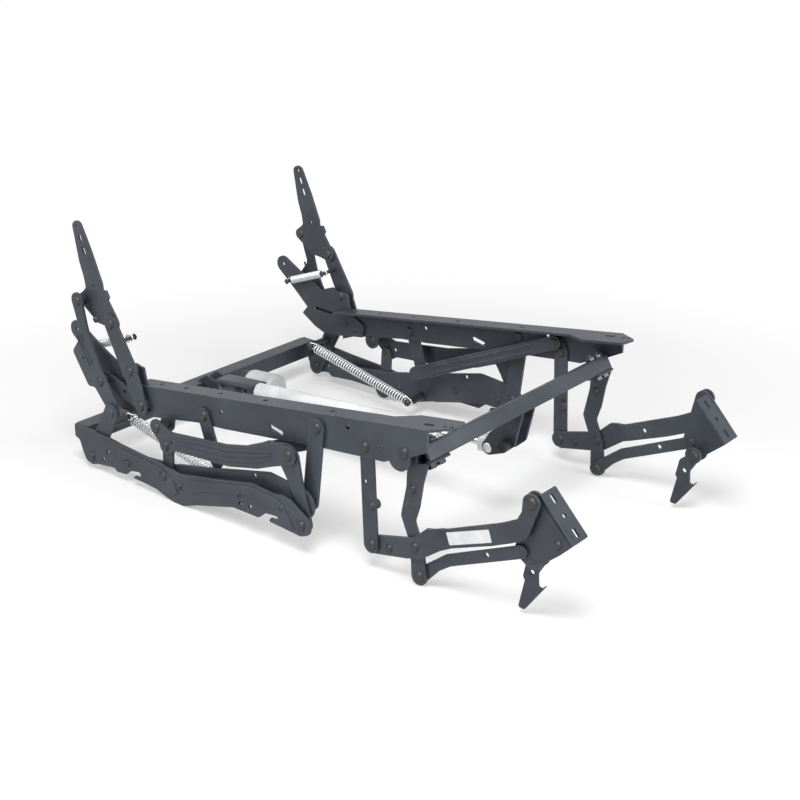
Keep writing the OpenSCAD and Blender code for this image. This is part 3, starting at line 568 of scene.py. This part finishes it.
# ---------------------------------------------------------------------------------------------
# Rivets and pins
# The pivots are shouldered steel rivets, blackened before they are spun over, so the heads
# shine a little more than the links and have a low dome, dimpled by the tool. Red fibre
# washers sit at the front footrest pivots.
def turned_steel(name, colour, roughness, metallic):
    """A machined surface with faint stains, a fine grain and softened edges."""
    material, tree, add, surface = new_material(name)
    coords = add("TexCoord").outputs["Object"]
    stain = add("TexNoise", Vector=coords, Scale=70.0, Detail=4.0, Roughness=0.6).outputs[0]
    grain = add("TexNoise", Vector=coords, Scale=900.0, Detail=2.0).outputs[0]
    dark = tuple(0.72 * c for c in colour) + (1.0,)
    light = tuple(min(1.0, 1.15 * c) for c in colour) + (1.0,)
    base = mix(add, tree, ramp(add, tree, stain, [(0.35, 0.0), (0.65, 1.0)]), dark, light)
    rough = ramp(add, tree, stain, [(0.3, roughness - 0.07), (0.7, roughness + 0.07)])
    rounded_edge = add("Bevel", samples=6, Radius=0.0007)
    bump = add("Bump", Strength=0.3, Distance=0.00008, Height=grain)
    tree.links.new(rounded_edge.outputs["Normal"], bump.inputs["Normal"])
    shader = add("BsdfPrincipled", Base_Color=base, Roughness=rough)
    shader.inputs["Metallic"].default_value = metallic
    tree.links.new(bump.outputs["Normal"], shader.inputs["Normal"])
    surface(shader)
    return material


def lathe(profile, turns=24):
    """A turned form round Z; the profile is (radius, height) pairs in mm."""
    form = bmesh.new()
    rings = []
    for radius, height in profile:
        angles = [2 * math.pi * k / turns for k in range(turns)] if radius else [0.0]
        rings.append([form.verts.new((radius * MM * math.cos(a), radius * MM * math.sin(a),
                                      height * MM)) for a in angles])
    for low, high in zip(rings, rings[1:]):
        for k in range(turns):
            a, b = low[k % len(low)], low[(k + 1) % len(low)]
            c, d = high[(k + 1) % len(high)], high[k % len(high)]
            corners = [v for i, v in enumerate((a, b, c, d)) if v not in (a, b, c, d)[:i]]
            form.faces.new(corners)
    bmesh.ops.recalc_face_normals(form, faces=form.faces)
    mesh = bpy.data.meshes.new("turned_form")
    form.to_mesh(mesh)
    form.free()
    return mesh


def scatter_tree(material):
    """Geometry Nodes: puts a form on every point, turned to the left or right by its attribute."""
    tree = bpy.data.node_groups.new("heads_on_points", "GeometryNodeTree")
    tree.interface.new_socket("Geometry", in_out="INPUT", socket_type="NodeSocketGeometry")
    form = tree.interface.new_socket("Form", in_out="INPUT", socket_type="NodeSocketObject")
    size = tree.interface.new_socket("Size", in_out="INPUT", socket_type="NodeSocketFloat")
    tree.interface.new_socket("Geometry", in_out="OUTPUT", socket_type="NodeSocketGeometry")
    start, end = tree.nodes.new("NodeGroupInput"), tree.nodes.new("NodeGroupOutput")
    info = tree.nodes.new("GeometryNodeObjectInfo")
    facing = tree.nodes.new("GeometryNodeInputNamedAttribute")
    facing.data_type = "FLOAT"
    facing.inputs["Name"].default_value = "facing"
    turn = tree.nodes.new("ShaderNodeMath")
    turn.operation = "MULTIPLY"
    turn.inputs[1].default_value = -math.pi / 2
    euler = tree.nodes.new("ShaderNodeCombineXYZ")
    put = tree.nodes.new("GeometryNodeInstanceOnPoints")
    real = tree.nodes.new("GeometryNodeRealizeInstances")
    paint = tree.nodes.new("GeometryNodeSetMaterial")
    paint.inputs["Material"].default_value = material
    for output, socket in ((start.outputs["Geometry"], put.inputs["Points"]),
                           (start.outputs["Form"], info.inputs["Object"]),
                           (info.outputs["Geometry"], put.inputs["Instance"]),
                           (facing.outputs[0], turn.inputs[0]),
                           (turn.outputs[0], euler.inputs["X"]),
                           (euler.outputs[0], put.inputs["Rotation"]),
                           (start.outputs["Size"], put.inputs["Scale"]),
                           (put.outputs[0], real.inputs[0]),
                           (real.outputs[0], paint.inputs["Geometry"]),
                           (paint.outputs[0], end.inputs[0])):
        tree.links.new(output, socket)
    return tree, form.identifier, size.identifier


def heads(name, body, places, profile, size=1.0):
    """Heads at (x, z, distance from the middle, 1 outward or -1 inward), on both sides."""
    tree, form_socket, size_socket = pin_tree
    mesh = bpy.data.meshes.new(name + "_points")
    points, facing = [], []
    for s in (1, -1):
        for x, z, y, out in places:
            points.append(in_model((x, z), s * y))
            facing.append(s * out)
    mesh.from_pydata(points, [], [])
    attribute = mesh.attributes.new("facing", "FLOAT", "POINT")
    attribute.data.foreach_set("value", facing)
    holder = in_scene(name + "_holder", mesh)
    form = in_scene(name + "_form", lathe(profile))
    nodes_modifier = holder.modifiers.new("heads", "NODES")
    nodes_modifier.node_group = tree
    nodes_modifier[form_socket] = form
    nodes_modifier[size_socket] = size
    made = baked(holder)
    bpy.data.objects.remove(holder)
    bpy.data.objects.remove(form)
    piece_from(name, made, Matrix.Identity(4), blackened, body)


blackened = turned_steel("blackened_steel", (0.050, 0.053, 0.062), 0.34, 0.45)
red_fibre = turned_steel("red_fibre", (0.42, 0.035, 0.030), 0.55, 0.0)
finish(red_fibre, ["pivot_washers"])

pin_tree = scatter_tree(blackened)
GAP = 0.0001                # air under a spun head
spun_head = [(0, 0.0), (6.1, 0.0), (6.2, 0.6), (5.9, 1.4), (5.1, 2.1), (4.0, 2.5), (3.0, 2.6),
             (2.5, 2.45), (2.1, 2.2), (0, 2.15)]
small_head = [(0, 0.0), (4.8, 0.0), (4.8, 0.8), (4.3, 1.7), (3.4, 2.3), (2.0, 2.6), (0, 2.7)]
P_TOGGLE = (-174.5, 7)
P_CARRIER_TOP = (54, 50)
P_CARRIER_LOW = (39, -66)
P_UPRIGHT = (-332, 40)
P_UPRIGHT_LOW = (-311, -12)
pivots = {
    "seat_frame": [(P_REAR_TOP, 0, 1), (P_REAR_TOP, -1, -1), (P_FRONT_TOP, 0, 1), (P_TOGGLE, 1, 1),
                   (P_TOGGLE, 0, -1), (P_CARRIER_TOP, 1, 1), (P_CARRIER_TOP, 0, -1),
                   (P_UPRIGHT, 2, 1), (P_UPRIGHT, -1, -1), (P_LEVER_REAR, 5, 1),
                   (P_LEVER_REAR, 0, -1)],
    "front_links": [(P_FRONT_MID, -2, 1), (P_FRONT_LOW, -3, 1), (P_FRONT_LOW, -4, -1)],
    "rear_links": [(P_REAR_LOW, -1, 1), (P_DRIVE, -3, -1)],
    "ottoman_arms": [(P_REAR_LOW, -2, -1), (P_ARM_TIP, -3, 1)],
    "footrest_brackets": [(P_LOW_TIP, -5, -1), (P_CLAW, -9, -1)],
    "uprights": [(P_BLADE, 2, 1), (P_BLADE, 1, -1), (P_UPRIGHT_LOW, 2, 1)],
    "control_links": [(P_BLADE_REAR, 4, 1), (P_BLADE_REAR, 1, -1), (P_CONTROL_MID, 4, 1)],
    "rear_base_links": [(P_CONTROL_LOW, 5, 1)],
    "levers": [(P_LEVER_ARM, 5, 1), (P_LEVER_FRONT, 5, 1), (P_LEVER_FRONT, 4, -1)],
    "base": [(P_BASE_REAR, 6, 1), (P_BASE_REAR, 5, -1), (P_END_BASE, 6, 1), (P_ARM_BASE, 6, 1),
             (P_CARRIER_LOW, 1, -1)],
}
for body, places in pivots.items():
    heads(body + "_pivot_heads", body,
          [(*point, (outer_face(n) + GAP) if out > 0 else (inner_face(n) - GAP), out)
           for point, n, out in places], spun_head)
heads("base_rivet_heads", "base",
      [(x, z, outer_face(6) + GAP, 1) for x, z in base_rivets[:1] + base_rivets[3:]]
      + [(x, z, inner_face(3) - GAP, -1) for x, z in base_rivets], small_head)
SUNK = 0.0008               # how deep a headed stop sits in its plate
for name, body, layer, places, size in (
        ("rail_rivet_heads", "seat_frame", 0, [(168, 52)], 0.8),
        ("back_stop_heads", "seat_frame", -1, [(-351, 46)], 1.3),
        ("blade_stop_heads", "blades", 1, [(-409, 106)], 1.1),
        ("upright_rivet_heads", "uprights", 2, [(-354, 81)], 0.6),
        ("link_rivet_heads", "front_links", -3, [(208, -7), (201, -27)], 0.9)):
    heads(name, body, [(x, z, outer_face(layer) - SUNK, 1) for x, z in places], small_head, size)

# ---------------------------------------------------------------------------------------------
# Tube bolts
# Two bolts at each end hold the front tube on its flanges, with hexagon heads below and nuts
# with the end of the thread above. They are blackened steel.
bolt_forms = bmesh.new()


def close_rings(form, rings):
    """Faces on the first and the last ring, and from each ring to the next."""
    form.faces.new(rings[0])
    form.faces.new(rings[-1])
    for a, b in zip(rings, rings[1:]):
        for k in range(len(a)):
            ahead = (k + 1) % len(a)
            form.faces.new((a[k], a[ahead], b[ahead], b[k]))


def hexagon(form, across, low, high, chamfer, matrix):
    """A hexagon head or nut round Z, with its outer end chamfered round."""
    radius = across / 2 / math.cos(math.pi / 6)
    rings = []
    for scale, height in ((1.0, low), (1.0, high - chamfer if high > low else high + chamfer),
                          (0.87, high)):
        rings.append([form.verts.new(matrix @ Vector((
            radius * scale * math.cos(math.pi / 3 * k) * MM,
            radius * scale * math.sin(math.pi / 3 * k) * MM, height * MM)))
            for k in range(6)])
    close_rings(form, rings)


def rod(form, radius, low, high, matrix, facets=16):
    """A round bolt along Z with a small chamfer at each end."""
    angles = [2 * math.pi * k / facets for k in range(facets)]
    rings = [[form.verts.new(matrix @ Vector((radius * f * math.cos(a) * MM,
                                              radius * f * math.sin(a) * MM, z * MM)))
              for a in angles]
             for f, z in ((0.86, low), (1.0, low + 0.6), (1.0, high - 0.6), (0.86, high))]
    close_rings(form, rings)


BOLT_ACROSS = 13            # across the flats, in mm
lean = Matrix.Rotation(-math.radians(TUBE_TURN), 4, "Y")
for s in (1, -1):
    for back in (33.0, 15.0):
        y = s * (outer_face(-3) * 1000 - back)
        at = Matrix.Translation(in_model(TUBE_CENTRE, y * MM)) @ lean
        hexagon(bolt_forms, BOLT_ACROSS, -TUBE_HALF - 4, -TUBE_HALF - 10, 1.2, at)
        hexagon(bolt_forms, BOLT_ACROSS, TUBE_HALF, TUBE_HALF + 5.5, 1.0, at)
        rod(bolt_forms, 4, -TUBE_HALF - 8, TUBE_HALF + 9, at)
bolt_mesh = bpy.data.meshes.new("tube_bolt_set")
bmesh.ops.recalc_face_normals(bolt_forms, faces=bolt_forms.faces)
bolt_forms.to_mesh(bolt_mesh)
bolt_forms.free()
piece_from("tube_bolt_set", bolt_mesh, Matrix.Identity(4), blackened, "front_links",
           "tube_bolts")

# ---------------------------------------------------------------------------------------------
# Actuator
# A dark pressed channel with three holes holds the moulded gear housing and the foot of the
# white painted tube, with the grey motor can beside it. A bright ground rod slides in the tube
# and pushes the clevis.
P_MOTOR = (-338, -67)
P_CLEVIS = (179, -23)
push = math.atan2(P_CLEVIS[1] - P_MOTOR[1], P_CLEVIS[0] - P_MOTOR[0])
along = Matrix.Translation(in_model(P_MOTOR)) @ Matrix.Rotation(-push, 4, "Y")
across = Matrix(((0, 0, 1, 0), (1, 0, 0, 0), (0, 1, 0, 0), (0, 0, 0, 1)))
white_paint = powder_coat("white_tube_paint", (0.78, 0.79, 0.80), 0.34, worn=0.1)
motor_grey = powder_coat("motor_can_grey", (0.46, 0.47, 0.48), 0.36, worn=0.2)
moulded = powder_coat("moulded_black", (0.024, 0.026, 0.031), 0.46, worn=0.0)
bright_rod = turned_steel("ground_rod_steel", (0.70, 0.71, 0.72), 0.20, 1.0)
finish(bright_rod, ["actuator_rod"])
plated = turned_steel("zinc_plated_steel", (0.62, 0.63, 0.64), 0.30, 1.0)


def section_along(name, outlines, u0, u1, material, slot, **shape):
    """A bar of constant section on the actuator's axis, from u0 to u1; the section is (y, v)."""
    place = along @ Matrix.Translation(((u0 + u1) / 2 * MM, 0.0, 0.0)) @ across
    return blank(name, outlines, (u1 - u0) * MM, place, material, slot, "actuator_housing",
                 "actuator_motor", **shape)


def drill(piece, radius, centres, y0, y1):
    """Bores holes across the actuator at (u, v), from y0 to y1."""
    tools = bmesh.new()
    angles = [math.pi / 12 * k for k in range(24)]
    for u, v in centres:
        close_rings(tools, [[tools.verts.new(along @ (Vector((u + radius * math.cos(a), y,
                                                              v + radius * math.sin(a))) * MM))
                             for a in angles] for y in (y0, y1)])
    bmesh.ops.recalc_face_normals(tools, faces=tools.faces)
    mesh = bpy.data.meshes.new("bores")
    tools.to_mesh(mesh)
    tools.free()
    bores = in_scene("bores", mesh)
    cut = piece.modifiers.new("bores", "BOOLEAN")
    cut.object = bores
    cut.solver = "EXACT"
    made = baked(piece)
    piece.modifiers.remove(cut)
    bpy.data.objects.remove(bores)
    old = piece.data
    piece.data = made
    bpy.data.meshes.remove(old)


channel_rim = rounded([(-17.8, -15, 1), (-17.8, 14, 6), (17.8, 14, 6), (17.8, -15, 1),
                       (15.4, -15, 1), (15.4, 11.6, 3.6), (-15.4, 11.6, 3.6), (-15.4, -15, 1)])
channel = section_along("actuator_channel", [channel_rim], -54, 32, slate, "grey_paint")
drill(channel, 3.0, ((-40, 4), (-2, 4), (15, 4)), -19, 19)
channel.data.name = "actuator_channel"
block_rim = rounded([(-9, 8, 3), (9, 8, 3), (9, -21, 1.5), (20, -21, 3), (24, 2, 6), (40, 14, 10),
                     (62, 8, 12), (70, -12, 14), (62, -33, 12), (40, -36, 10), (-9, -33, 6)])
section_along("gear_block", [block_rim], -46, -32.2, moulded, "black_steel", edge=0.002, steps=3)
core_rim = rounded([(-9, -11, 2), (9, -11, 2), (9, 11, 2), (-9, 11, 2)])
section_along("gear_core", [core_rim], 12, 31, moulded, "black_steel", edge=0.001)


def turned_along(name, profile, y, v, material, node):
    """A turned form on a line beside the actuator's axis; the profile is (radius, u)."""
    place = (along @ Matrix.Translation((0.0, y * MM, v * MM))
             @ Matrix.Rotation(math.pi / 2, 4, "Y"))
    piece_from(name, lathe(profile, 48), place, material, "actuator_housing", node)


turned_along("motor_can", [(0, -32), (22, -32), (24.4, -31.2), (25, -29), (25, 21), (24.3, 24.6),
                           (22.4, 27.2), (20, 28), (9, 28), (8.4, 28.4), (8, 30.4), (6.8, 31),
                           (0, 31)], 46, -10, motor_grey, "actuator_motor")
turned_along("white_tube", [(0, 31.2), (13.4, 31.2), (14.6, 31.8), (15, 33), (15, 408), (14.2, 413),
                            (12.2, 416.2), (9.6, 417), (6.9, 417), (6.9, 117), (0, 117)],
             0, 0, white_paint, "actuator_tube")
cheek_rim = rounded([(-105, -24, 2), (-60, -16, 10)] + arc((0, 0), 10.5, -90, 90, 12)
                    + [(-60, 8, 10), (-82, 16, 8), (-105, 2, 2)])
for side, s in SIDES:
    blank(f"actuator_cheek_{side}", [cheek_rim, round_hole((0, 0), 5.0)], 0.0035,
          along @ Matrix.Translation((0.0, s * 0.0122, 0.0)) @ Matrix.Rotation(math.pi / 2, 4, "X"),
          slate, "grey_paint", "base", "actuator_bracket")

# ---------------------------------------------------------------------------------------------
# Clevis
# Two dark steel cheeks are welded under the front tube and carry the rod's pin, whose zinc
# plated ends stand out of them. A round rubber buffer sits on the outer face of the right one.
h = TUBE_HALF
clevis_rim = rounded([on_tube(-h, -h) + (1,), (181, 2, 12)] + arc(P_CLEVIS, 11.5, 130, 290, 14)
                     + [(208, -24, 12), (225, -9, 10), on_tube(h, -h) + (1,)])
for side, s in SIDES:
    blank(f"clevis_cheek_{side}", [clevis_rim, round_hole(P_CLEVIS, 5.0)], PLATE,
          standing(0.014, s), slate, "grey_paint", "front_links", "clevis_bracket")


def turned_across(name, profile, point, material):
    """A turned form across the mechanism at a drawing point; the profile is (radius, y)."""
    place = Matrix.Translation(in_model(point)) @ Matrix.Rotation(-math.pi / 2, 4, "X")
    piece_from(name, lathe(profile, 32), place, material, "front_links", "clevis_pin")


stub = [(0, 12.2), (4.9, 12.2), (4.9, 16.1), (7.4, 16.1), (7.6, 18.2), (6.6, 19.0), (0, 19.0)]
for number, s in ((1, 1), (2, -1)):
    turned_across(f"clevis_pin_{number}", [(radius, s * y) for radius, y in stub], P_CLEVIS, plated)
turned_across("rubber_buffer", [(0, -16.2), (8.4, -16.2), (9, -17), (9, -29), (8.2, -30),
                                (4.2, -30.2), (3.6, -29.2), (0, -29.2)], (212, -9), moulded)

# ---------------------------------------------------------------------------------------------
# Springs
# Cold wound steel springs, zinc plated, stretched a little open, with a hook bent from the same
# wire at each end that sits round its pin. The large ones pull the back upright.
spring_steel, tree, add, surface = new_material("spring_wire_steel")
coords = add("TexCoord").outputs["Object"]
cloud = add("TexNoise", Vector=coords, Scale=90.0, Detail=3.0).outputs[0]
tone = mix(add, tree, ramp(add, tree, cloud, [(0.35, 0.0), (0.65, 1.0)]),
           (0.74, 0.75, 0.77, 1.0), (0.86, 0.87, 0.88, 1.0))
shader = add("BsdfPrincipled", Base_Color=tone,
             Roughness=ramp(add, tree, cloud, [(0.3, 0.42), (0.7, 0.34)]))
shader.inputs["Metallic"].default_value = 0.8
surface(shader)


def wire_tree(material):
    """Geometry Nodes: sweeps a round wire along a path."""
    tree = bpy.data.node_groups.new("round_wire", "GeometryNodeTree")
    tree.interface.new_socket("Geometry", in_out="INPUT", socket_type="NodeSocketGeometry")
    size = tree.interface.new_socket("Wire radius", in_out="INPUT", socket_type="NodeSocketFloat")
    facets = tree.interface.new_socket("Facets", in_out="INPUT", socket_type="NodeSocketInt")
    tree.interface.new_socket("Geometry", in_out="OUTPUT", socket_type="NodeSocketGeometry")
    start, end = tree.nodes.new("NodeGroupInput"), tree.nodes.new("NodeGroupOutput")
    ring = tree.nodes.new("GeometryNodeCurvePrimitiveCircle")
    sweep = tree.nodes.new("GeometryNodeCurveToMesh")
    sweep.inputs["Fill Caps"].default_value = True
    paint = tree.nodes.new("GeometryNodeSetMaterial")
    paint.inputs["Material"].default_value = material
    for output, socket in ((start.outputs["Geometry"], sweep.inputs["Curve"]),
                           (start.outputs["Wire radius"], ring.inputs["Radius"]),
                           (start.outputs["Facets"], ring.inputs["Resolution"]),
                           (ring.outputs["Curve"], sweep.inputs["Profile Curve"]),
                           (sweep.outputs[0], paint.inputs["Geometry"]),
                           (paint.outputs[0], end.inputs[0])):
        tree.links.new(output, socket)
    return tree, size.identifier, facets.identifier


wire_nodes = wire_tree(spring_steel)


def wire_mesh(name, path, radius, facets=8):
    """One wire along a path of points, in metres."""
    curve = bpy.data.curves.new(name, "CURVE")
    curve.dimensions = "3D"
    spline = curve.splines.new("POLY")
    spline.points.add(len(path) - 1)
    for point, place in zip(spline.points, path):
        point.co = (*place, 1.0)
    holder = in_scene(name + "_path", curve)
    sweep = holder.modifiers.new("wire", "NODES")
    sweep.node_group = wire_nodes[0]
    sweep[wire_nodes[1]] = radius
    sweep[wire_nodes[2]] = facets
    mesh = baked(holder)
    bpy.data.objects.remove(holder)
    return mesh


def spring_path(length, outer, wire, pin, curls, steps=20):
    """A coil along X between two pins, with a hook round each pin; the pins lie along Y."""
    radius = (outer - wire) / 2
    hook = pin / 2 + wire / 2 + 0.3
    lead = hook + 4.0
    body = []
    for i in range(curls * steps + 1):
        t = i / (curls * steps)
        a = 2 * math.pi * curls * t
        body.append((lead + (length - 2 * lead) * t, radius * math.sin(a), radius * math.cos(a)))
    first = [(hook * math.cos(math.radians(d)), 0.0, hook * math.sin(math.radians(d)))
             for d in range(395, 90, -15)]
    join = [(t * lead, 0.0, hook + (radius - hook) * t * t * (3 - 2 * t))
            for t in (0.0, 0.3, 0.6, 0.85)]
    head = first + join
    tail = [(length - x, -y, z) for x, y, z in reversed(head)]
    return head + body + tail


def spring(name, rear, front, y, outer, wire, pin, curls):
    """The spring's mesh from its rear pin to its front pin, in the drawing plane at distance y."""
    run = Vector(front) - Vector(rear)
    matrix = (Matrix.Translation(in_model(rear, y))
              @ Matrix.Rotation(-math.atan2(run[1], run[0]), 4, "Y"))
    path = [matrix @ (Vector(p) * MM) for p in spring_path(run.length, outer, wire, pin, curls)]
    return wire_mesh(name, path, wire * 0.0005)


LARGE_Y = 0.215             # the springs' distance from the middle
SMALL_Y = inner_face(-1) - 0.007 - 0.004
P_SPRING_FRONT = (-157, -112)
P_SMALL_REAR = (-444, 50)
P_SMALL_FRONT = (-357, 81)
for side, s in SIDES:
    piece_from(f"large_coil_{side}",
               spring("large_coil", P_SPRING_REAR, P_SPRING_FRONT, s * LARGE_Y, 17.4, 2.4, 8.0, 39),
               Matrix.Identity(4), spring_steel, "control_links",
               f"large_spring_{side}")
for side, s in SIDES:
    coil = piece_from(f"small_coil_{side}",
                      spring("small_coil", P_SMALL_REAR, P_SMALL_FRONT, s * SMALL_Y, 14.0, 2.0,
                             6.0, 27),
                      Matrix.Identity(4), spring_steel, None, "small_springs")
    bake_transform(coil)


# ---------------------------------------------------------------------------------------------
# Studio
# A plain white floor that keeps a soft shadow under the mechanism and fades to pure white, with
# three large soft lamps and an even pale surround.
def soft_lamp(name, place, size, power):
    """A round lamp that looks at the middle of the mechanism."""
    data = bpy.data.lights.new(name, "AREA")
    data.shape = "DISK"
    data.size = size
    data.energy = power
    lamp = in_scene(name, data)
    lamp.location = place
    aim = Vector((0.0, 0.0, 0.15)) - lamp.location
    lamp.rotation_euler = aim.to_track_quat("-Z", "Y").to_euler()


soft_lamp("lamp_above", (0.7, -1.1, 2.4), 1.2, 55.0)
soft_lamp("lamp_left", (-1.6, -2.1, 1.3), 1.3, 34.0)
soft_lamp("lamp_front", (2.3, 0.2, 1.1), 1.3, 42.0)

floor_mesh = bpy.data.meshes.new("studio_floor")
FLOOR_HALF = 30.0
FLOOR_Z = -0.0005
floor_mesh.from_pydata([(a * FLOOR_HALF, b * FLOOR_HALF, FLOOR_Z) for a, b in square_corners], [],
                       [(0, 1, 2, 3)])
floor = in_scene("studio_floor", floor_mesh)
floor_material, tree, add, surface = new_material("studio_white")
coords = add("TexCoord").outputs["Object"]
distance = add("VectorMath", operation="LENGTH")
tree.links.new(coords, distance.inputs[0])
fade = add("MapRange", interpolation_type="SMOOTHSTEP")
tree.links.new(distance.outputs["Value"], fade.inputs["Value"])
fade.inputs["From Min"].default_value = 0.55
fade.inputs["From Max"].default_value = 1.15
fade.inputs["To Min"].default_value = 0.35
light_path = add("LightPath")
seen = add("Math", operation="MAXIMUM")
tree.links.new(light_path.outputs["Is Camera Ray"], seen.inputs[0])
tree.links.new(light_path.outputs["Is Glossy Ray"], seen.inputs[1])
clear = add("Math", operation="MULTIPLY")
tree.links.new(fade.outputs[0], clear.inputs[0])
tree.links.new(seen.outputs[0], clear.inputs[1])
paper_white = add("BsdfDiffuse", Color=(0.90, 0.90, 0.90, 1.0))
glow = add("Emission", Color=(1.0, 1.0, 1.0, 1.0), Strength=1.0)
blend = add("MixShader")
tree.links.new(clear.outputs[0], blend.inputs[0])
tree.links.new(paper_white.outputs[0], blend.inputs[1])
tree.links.new(glow.outputs[0], blend.inputs[2])
surface(blend)
floor_mesh.materials.append(floor_material)

world = bpy.data.worlds.new("studio_world")
bpy.context.scene.world = world
world.use_nodes = True
sky = world.node_tree
sky.nodes.clear()
out = sky.nodes.new("ShaderNodeOutputWorld")
even, white = (sky.nodes.new("ShaderNodeBackground") for _ in range(2))
for surround, strength in ((even, 0.15), (white, 1.0)):
    surround.inputs["Color"].default_value = (1.0, 1.0, 1.0, 1.0)
    surround.inputs["Strength"].default_value = strength
rays = sky.nodes.new("ShaderNodeLightPath")
first, second = (sky.nodes.new("ShaderNodeMath") for _ in range(2))
first.operation = second.operation = "MAXIMUM"
choice = sky.nodes.new("ShaderNodeMixShader")
for output, socket in ((rays.outputs["Is Camera Ray"], first.inputs[0]),
                       (rays.outputs["Is Glossy Ray"], first.inputs[1]),
                       (first.outputs[0], second.inputs[0]),
                       (rays.outputs["Is Transmission Ray"], second.inputs[1]),
                       (second.outputs[0], choice.inputs[0]),
                       (even.outputs[0], choice.inputs[1]),
                       (white.outputs[0], choice.inputs[2]),
                       (choice.outputs[0], out.inputs["Surface"])):
    sky.links.new(output, socket)
